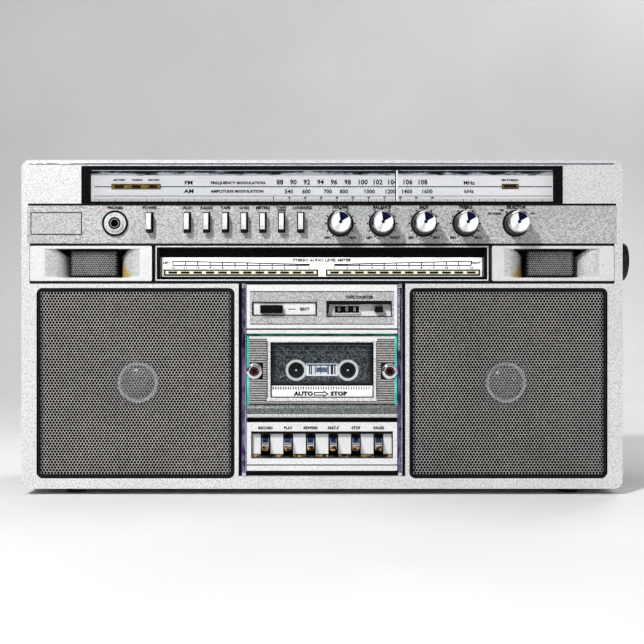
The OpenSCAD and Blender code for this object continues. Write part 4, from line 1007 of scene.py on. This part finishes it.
# guides and hinge stubs
for s in (-1, 1):
    a, b = sorted((s * 50.7, s * 54))
    g.box(a, b, YF + 3, -39.4, 64.2, 118, 3)
    a, b = sorted((s * 47, s * 54))
    g.box(a, b, -41.3, -39.4, 90, 118, 3)
    a, b = sorted((s * 38, s * 54))
    g.box(a, b, YF + 3, -38.9, 64.2, 66.3, 3)
    g.lathe([(1.9, s * 53), (1.9, s * 64)], (0, -51, 66.5), "X", 24, 3)
g.obj("cassette_door_shell", ["face", "cap", "matt", "dark", "rib", "band"], "cassette_door", 0.22, slot="silver_case", replaces=["cassette_door"])
g = Geo()
g.box(-61.2, -59.4, yd0 - 0.5, YF + 2.4, 64.9, 129.4, 0)
g.box(59.4, 61.2, yd0 - 0.5, YF + 2.4, 64.9, 129.4, 0)
# top bar in a darker copy of the edge colour: painted shade
g.box(-61.2, 61.2, yd0 - 0.5, YF + 2.4, 129.4, 131.2, 1)
g.obj("door_edge_trim", ["teal", "deep_green"], "cassette_door", 0.25)
g = Geo()
g.ring(-41.9, 41.9, 79.4, 124.4, 0.7, YF - 1.75, YF + 0.6, 0)
g.box(-41.2, 41.2, YF - 0.9, YF + 1.3, 89.2, 89.8, 0)
g.obj("door_window_gasket", ["matt"], "cassette_door", 0.1)
# white strip with ticks and the auto-stop arrow
g = Geo()
g.box(-41.2, 41.2, YF - 0.7, YF + 1.3, 79.8, 89.3, 0)
g.obj("door_label_strip", ["white"], "cassette_door", 0.15)
g = Geo()
ys = YF - 0.8
for i in range(39):
    x = -39.7 + i * 2.053
    w = 0.45 - 0.005 * i
    g.box(x - w, x + w, ys, ys + 0.14, 86.0, 88.2)
g.box(-6.6, 1.9, ys, ys + 0.14, 81.05, 81.8)
g.box(-6.6, 1.9, ys, ys + 0.14, 83.2, 83.95)
g.box(-6.6, -5.85, ys, ys + 0.14, 81.05, 83.95)
g.prism([(1.15, 81.1), (1.15, 79.85), (5.5, 82.5), (1.15, 85.15), (1.15, 83.9), (1.9, 83.9), (1.9, 83.85), (4.0, 82.5), (1.9, 81.15), (1.9, 81.1)], ys, ys + 0.14)
g.obj("door_label_marks", ["black_print_and_shade"], "cassette_door", 0)
put_text(text("door_lettering", [("AUTO", -15.0, 82.5, 2.7, "CENTER", 1.22), ("STOP", 13.6, 82.5, 2.7, "CENTER", 1.22)], "black_print_and_shade", "cassette_door", ys, 0.14, bold=0.05))
# chromed studs
g = Geo()
for s in (-1, 1):
    c = (s * 55.2, 0, 100.9)
    g.lathe([(6.6, yd0 + 0.2), (6.7, yd0 - 0.6), (6.2, yd0 - 1.5), (5.2, yd0 - 2.1), (4.4, yd0 - 2.2), (3.7, yd0 - 1.6), (3.5, yd0 - 0.8)], c, "Y", 40, 0, close=False)
    g.lathe([(3.5, yd0 - 0.8), (0.1, yd0 - 0.7)], c, "Y", 40, 1, close=False)
    g.lathe([(2.9, yd0 - 0.75), (2.85, yd0 - 1.0), (2.3, yd0 - 1.0), (2.25, yd0 - 0.75)], c, "Y", 32, 2, close=False)
g.obj("door_studs", ["chrome", "hub", "led_red"], "cassette_door", 0)

# ------------------------------------------------------------------ cassette details
g = Geo()
yc = -50.5
for s in (-1, 1):
    c = (s * 21.25, 0, 101.3)
    # hub rings with a painted glow
    g.lathe([(8.8, yc), (8.6, yc - 0.3), (7.0, yc - 0.35), (6.5, yc)], c, "Y", 48, 5, close=False)
    g.lathe([(6.55, yc - 0.1), (5.75, yc - 0.06)], c, "Y", 48, 4, close=False)
# window rims and plate in white with a painted glow
g.ring(-12.9, 12.9, 96.6, 106.8, 0.7, yc - 0.3, yc + 0.2, 0)
g.box(-12.2, 12.2, yc - 0.12, yc + 0.15, 97.3, 106.1, 1)
g.box(-12.2, 12.2, yc - 0.16, yc + 0.15, 105.0, 106.1, 2)
for x, w in ((-10.2, 0.5), (-8.7, 0.45), (-5.6, 0.35), (-1.0, 0.3), (5.0, 0.5), (8.2, 1.0), (10.6, 0.5)):
    g.box(x - w, x + w, yc - 0.16, yc + 0.15, 97.9, 105.0, 2)
g.box(-4.8, 4.2, yc - 0.16, yc + 0.15, 99.6, 103.6, 3)
g.obj("cassette_rims", ["bright", "bright", "tape", "pale_blue", "hub", "glow"], "cassette_door", 0)
g = Geo()
g.box(-45, 45, yc - 0.14, yc + 0.1, 110.4, 127.2, 0)
for s in (-1, 1):
    g.box(*sorted((s * 30.5, s * 45)), yc - 0.14, yc + 0.1, 90, 110.4, 0)
g.box(-30.5, 30.5, yc - 0.14, yc + 0.1, 87.4, 91.6, 0)
g.obj("cassette_label", ["cassette"], "cassette_door", 0)
g = Geo()
for z in (121.5, 117.5, 113.8):
    g.box(-42, 42, yc - 0.2, yc - 0.1, z, z + 0.3, 0)
g.obj("cassette_label_lines", ["light_print"], "cassette_door", 0)
g = Geo()
for x, z in ((-45.6, 126), (45.6, 126), (-45.6, 71.5), (45.6, 71.5), (0, 80)):
    yq = yc - 0.02 if z > 84 or abs(x) > 33 else -52.12
    g.lathe([(1.7, yq + 0.2), (1.7, yq - 0.25), (1.2, yq - 0.35)], (x, 0, z), "Y", 20, 0)
g.obj("cassette_screws", ["steel"], "cassette_door", 0)
for node, x, r in (("supply_reel", -21.25, 22.95), ("takeup_reel", 21.25, 15.95)):
    g = Geo()
    n = 10
    g.lathe([(10.8, -48.05), (r, -48.05), (r, -44.15), (10.8, -44.15)], (x, 0, 101.3), "Y", 72, 0, close=False)
    g.obj(node + "_tape_pack", ["tape"], node, 0)

# glowing discs on the tips of the two spindles: painted glint
for node, x in (("supply_spindle", -21.25), ("takeup_spindle", 21.25)):
    g = Geo()
    g.lathe([(0.8, -50.02), (0.6, -50.15), (0.05, -50.2)], (x, 0, 101.3), "Y", 24, 0, close=False)
    g.obj(node + "_painted_glint", ["glow"], node, 0)

# ------------------------------------------------------------------ sides, handle, aerial
g = Geo()
H = 245.0
n = 120
wob = lambda rr, t, i: rr * (1 - 0.012 * (i % 2)) if rr > 16.2 and 246.6 < t < 252 else rr
g.lathe([(16.2, H + 0.8), (17, H + 1.4), (17, H + 2.0), (17.0, H + 6.6), (16.6, H + 7.4)], (0, -32, 192), "X", n, 1, wob=wob)
g.lathe([(16.6, H + 7.4), (15.8, H + 8.6), (14.8, H + 8.6), (14.2, H + 8.0), (0.1, H + 8.0)], (0, -32, 192), "X", n, 0, close=False)
g.lathe([(3.2, H - 22), (3.2, H + 1)], (0, -32, 192), "X", 24, 1)
g.obj("tuning_knob_body", ["skirt", "skirt"], "tuning_knob", 0, slot="spun_knob", replaces=["tuning_knob"])
g = Geo()
g.lathe([(14.1, H + 7.95), (14.0, H + 8.15), (5, H + 8.15), (4.6, H + 7.9), (0.1, H + 7.9)], (0, -32, 192), "X", 64, 0, close=False)
g.lathe([(1.3, H + 8.1), (1.3, H + 8.35), (0.6, H + 8.35)], (0, -22.5, 192), "X", 16, 1)
g.obj("tuning_knob_face", ["cap", "black_print_and_shade"], "tuning_knob", 0)
g = Geo()
for s in (-1, 1):
    g.lathe([(19.2, s * (H - 0.05)), (19.2, s * (H + 0.35)), (17.8, s * (H + 0.35))], (0, -32, 192), "X", 64, 0, close=False) if s > 0 else None
g.obj("tuning_knob_ring", ["gloss"], "chassis", 0)
put_text_side = []

# handle: arms with a rounded section, ribbed soft grip, chromed bosses
py, pz, gy, gz, R = -20.0, 240.0, 62.8, 254.0, 11.0
g = Geo()
L = math.hypot(gy - py, gz - pz)
ang = math.atan2(gz - pz, gy - py)


def arm_outline(k, seg=20):
    pts = []
    for i in range(seg + 1):
        a = ang + math.pi / 2 + math.pi * i / seg
        pts.append((py + 12 * k * math.cos(a), pz + 12 * k * math.sin(a)))
    for i in range(seg + 1):
        a = ang - math.pi / 2 + math.pi * i / seg
        pts.append((gy + R * k * math.cos(a), gz + R * k * math.sin(a)))
    return pts


for s in (-1, 1):
    pts = arm_outline(1.0)
    g.side(pts, *sorted((s * (H + 0.8), s * (H + 6.9))), 0)
g.obj("handle_arms", ["silver"], "handle", 1.2, seg=3)
g = Geo()
for s in (-1, 1):
    # inset panel line on each arm
    a0 = (py + 16 * math.cos(ang), pz + 16 * math.sin(ang))
    a1 = (gy - 13 * math.cos(ang), gz - 13 * math.sin(ang))
    nx, nz = -math.sin(ang) * 5.2, math.cos(ang) * 5.2
    pts = [(a0[0] + nx, a0[1] + nz), (a0[0] - nx, a0[1] - nz), (a1[0] - nx, a1[1] - nz), (a1[0] + nx, a1[1] + nz)]
    g.side(pts, *sorted((s * (H + 6.5), s * (H + 7.3))), 0)
g.obj("handle_arm_inlays", ["dark"], "handle", 0.3)
g = Geo()
prof = [(R - 1.6, -(H + 0.8)), (R - 0.6, -(H - 4))]
x = -(H - 10)
prof += [(R - 0.6, x - 1), (R, x)]
nrib = 62
for i in range(nrib):
    a = -190 + i * (380.0 / nrib)
    w = 380.0 / nrib
    if i == 0:
        prof.append((R, a))
    prof += [(R - 0.75, a + w * 0.12), (R - 0.75, a + w * 0.3), (R, a + w * 0.42), (R, a + w)]
prof += [(R, H - 10), (R - 0.6, H - 9), (R - 0.6, H - 4), (R - 1.6, H + 0.8)]
g.lathe(prof, (0, gy, gz), "X", 48, 0)
g.obj("handle_grip", ["grip"], "handle", 0, slot="dark_case", replaces=["handle"], angle=25)

# pivot caps
g = Geo()
for s in (-1, 1):
    g.lathe([(6.4, s * (H + 6.9)), (6.4, s * (H + 8.6)), (5.6, s * (H + 9.6)), (4.6, s * (H + 10)), (1.2, s * (H + 10)), (0.9, s * (H + 9.6)), (0.1, s * (H + 9.6))], (0, py, pz), "X", 40, 0, close=False)
g.obj("handle_pivot_caps", ["chrome"], "chassis", 0)

# aerial: stepped tube sections, knurled tip
g = Geo()
ax, ay, az = 215.0, 28.0, 280.0
g.lathe([(1.6, -171), (2.5, -170.4), (3.2, -169.2), (3.2, -6.4), (2.6, -6.0), (2.6, -3)], (ax, ay, az), "X", 32, 0)
g.lathe([(3.4, -14), (3.4, -8)], (ax, ay, az), "X", 32, 0)
g.lathe([(3.6, -3), (3.6, 3)], (ax, ay, az), "Y", 32, 0)
g.obj("antenna_outer_tube", ["chrome"], "antenna_tube", 0.25, slot="bright_chrome", replaces=["antenna_tube"])
g = Geo()
w2 = lambda rr, t, i: rr * (1 - 0.04 * (i % 2)) if rr > 3.3 else rr
g.lathe([(2.3, -10), (2.44, -11), (2.44, -60), (2.1, -61), (2.1, -110), (1.7, -111), (1.7, -171.4)], (ax, ay, az), "X", 28, 0)
g.lathe([(1.8, -171.0), (3.4, -171.2), (3.6, -172), (3.6, -176.6), (2.8, -178), (0.1, -178)], (ax, ay, az), "X", 36, 0, close=False, wob=w2)
g.obj("antenna_inner_rod", ["chrome"], "antenna_rod", 0, slot="bright_chrome", replaces=["antenna_rod"])

# ------------------------------------------------------------------ back
g = Geo()
yb = 74.0
for z in range(96, 234, 6):
    for x0, x1 in ((-226, -110), (-24, 24)):
        if z > 176 or x0 < -50:
            g.box(x0, x1, yb - 0.2, yb + 0.35, z, z + 1.2)
g.ring(-132.2, 132.2, 13.2, 88.8, 1.4, yb - 0.6, yb + 0.35)
for s in (-1, 1):
    for z in (104, 228):
        g.lathe([(5.5, -0.5), (5.5, 0.3), (4.6, 0.9), (0.1, 0.9)], (s * 206, 74, z), "Y", 32, 0, close=False)
g.obj("back_ribs", ["dark"], "chassis", 0.1)
g = Geo()
g.box(-108, -30, yb - 0.2, yb + 0.25, 128, 168)
g.obj("back_blank_plate", ["panel"], "chassis", 0.15)
g = Geo()
for i in range(19):
    x = -117 + i * 13
    if abs(x) < 30:
        continue
    g.box(x - 2, x + 2, yb - 0.3, yb + 0.35, 24, 60)
for s in (-1, 1):
    g.prism([(s * 52 - 5, 76), (s * 52, 70.5), (s * 52 + 5, 76)], yb - 0.3, yb + 0.3)
    g.ring(s * 52 - 12, s * 52 + 12, 66, 84, 0.8, yb - 0.3, yb + 0.3)
g.obj("battery_door_ribs", ["dark"], "battery_door", 0.1)
g = Geo()
for x in (164, 182):
    for z in (134, 156):
        g.lathe([(7.0, 62.4), (7.0, 63.4), (4.4, 63.4)], (x, 0, z), "Y", 32, 0 if z < 140 else 1, close=False)
        g.lathe([(4.2, 62.5), (4.2, 71.4), (3.7, 72.1), (1.7, 72.1), (1.7, 66)], (x, 0, z), "Y", 32, 2, close=False)
g.obj("socket_rings", ["red_ring", "white_ring", "chrome"], "chassis", 0)
g = Geo()
g.ring(194.5, 217.5, 126.5, 139.5, 1.2, 62.0, 64.6)
g.box(196.2, 215.8, 55, 56, 128.2, 137.8)
for x in (201, 206, 211):
    g.lathe([(1.1, 55.9), (1.1, 61.6), (0.6, 62)], (x, 0, 133), "Y", 16, 1)
g.obj("mains_inlet_pins", ["matt", "chrome"], "chassis", 0.1)
# cross slots in the screw heads
g = Geo()
for s in (-1, 1):
    for x, z, y in ((236, 17, 73.4), (236, 212, 73.4), (66, 265.6, 43.4)):
        g.box(s * x - 2.1, s * x + 2.1, y - 0.5, y + 0.03, z - 0.35, z + 0.35)
        g.box(s * x - 0.35, s * x + 0.35, y - 0.5, y + 0.03, z - 2.1, z + 2.1)
g.obj("screw_slots", ["matt"], "chassis", 0)
# seam between the two shells
g = Geo()
g.box(-245.03, -244.6, -8.5, -7.7, 12, 266)
g.box(244.6, 245.03, -8.5, -7.7, 12, 266)
g.box(-238, 238, -8.5, -7.7, 272.7, 273.03)
g.box(-238, 238, -8.5, -7.7, 4.97, 5.4)
g.obj("shell_seam", ["matt"], "chassis", 0)

# ------------------------------------------------------------------ stage
wall = bpy.data.materials.new("backdrop")
nt, b, out = _nodes(wall)
tc = nt.nodes.new("ShaderNodeTexCoord")
f = _noise(nt, tc.outputs["Object"], 3, 4)
nt.links.new(_mix(nt, _range(nt, f, 0, 1), (0.62, 0.615, 0.61), (0.68, 0.675, 0.67)), b.inputs["Base Color"])
b.inputs["Roughness"].default_value = 0.85
v, fcs = [], []
prof = [(-6, 0), (0.9, 0)] + [(0.9 + 0.5 * math.sin(t), 0.5 - 0.5 * math.cos(t)) for t in [i * math.pi / 24 for i in range(1, 13)]] + [(1.4, 4)]
for y, z in prof:
    v += [(-5, y, z), (5, y, z)]
for i in range(len(prof) - 1):
    fcs.append((2 * i, 2 * i + 1, 2 * i + 3, 2 * i + 2))
me = bpy.data.meshes.new("backdrop")
me.from_pydata(v, [], fcs)
me.materials.append(wall)
for p in me.polygons:
    p.use_smooth = True
bd = bpy.data.objects.new("backdrop", me)
SC.collection.objects.link(bd)


def area(name, loc, target, size, power, color=(1, 1, 1)):
    li = bpy.data.lights.new(name, "AREA")
    li.shape = "RECTANGLE"
    li.size, li.size_y = size
    li.energy = power
    li.color = color
    o = bpy.data.objects.new(name, li)
    SC.collection.objects.link(o)
    o.location = loc
    o.rotation_euler = (Vector(target) - Vector(loc)).to_track_quat("-Z", "Y").to_euler()


area("key", (-0.62, -1.05, 1.25), (0, 0, 0.12), (0.16, 0.16), 23)
area("fill", (1.4, -1.5, 0.6), (0, 0, 0.12), (1.0, 1.0), 2.5)
area("top", (0, 0.2, 1.7), (0, 0, 0.1), (1.4, 1.0), 6)
area("back", (0.9, 1.3, 1.2), (0, 0, 0.15), (0.9, 0.9), 12)

w = bpy.data.worlds.new("studio")
SC.world = w
w.use_nodes = True
nt = w.node_tree
nt.nodes.clear()
out = nt.nodes.new("ShaderNodeOutputWorld")
bg = nt.nodes.new("ShaderNodeBackground")
tc = nt.nodes.new("ShaderNodeTexCoord")
sep = nt.nodes.new("ShaderNodeSeparateXYZ")
nt.links.new(tc.outputs["Generated"], sep.inputs[0])
ramp = nt.nodes.new("ShaderNodeValToRGB")
ramp.color_ramp.elements[0].position = 0.30
ramp.color_ramp.elements[0].color = (0.32, 0.32, 0.33, 1)
ramp.color_ramp.elements[1].position = 0.85
ramp.color_ramp.elements[1].color = (0.95, 0.96, 1.0, 1)
e1 = ramp.color_ramp.elements.new(0.52)
e1.color = (0.16, 0.17, 0.19, 1)
mr = nt.nodes.new("ShaderNodeMapRange")
mr.inputs["From Min"].default_value = -1
mr.inputs["From Max"].default_value = 1
nt.links.new(sep.outputs["Z"], mr.inputs["Value"])
nt.links.new(mr.outputs[0], ramp.inputs[0])
nt.links.new(ramp.outputs[0], bg.inputs[0])
bg.inputs[1].default_value = 0.42
nt.links.new(bg.outputs[0], out.inputs[0])

cam = bpy.data.cameras.new("camera")
cam.sensor_width = 36
cam.lens = 55.0
co = bpy.data.objects.new("camera", cam)
SC.collection.objects.link(co)
co.location = (0, -0.86, 0.142)
co.rotation_euler = (math.radians(90), 0, 0)
cam.shift_y = -0.002
SC.camera = co
SC.view_settings.view_transform = "Standard"
SC.view_settings.look = "Medium High Contrast"
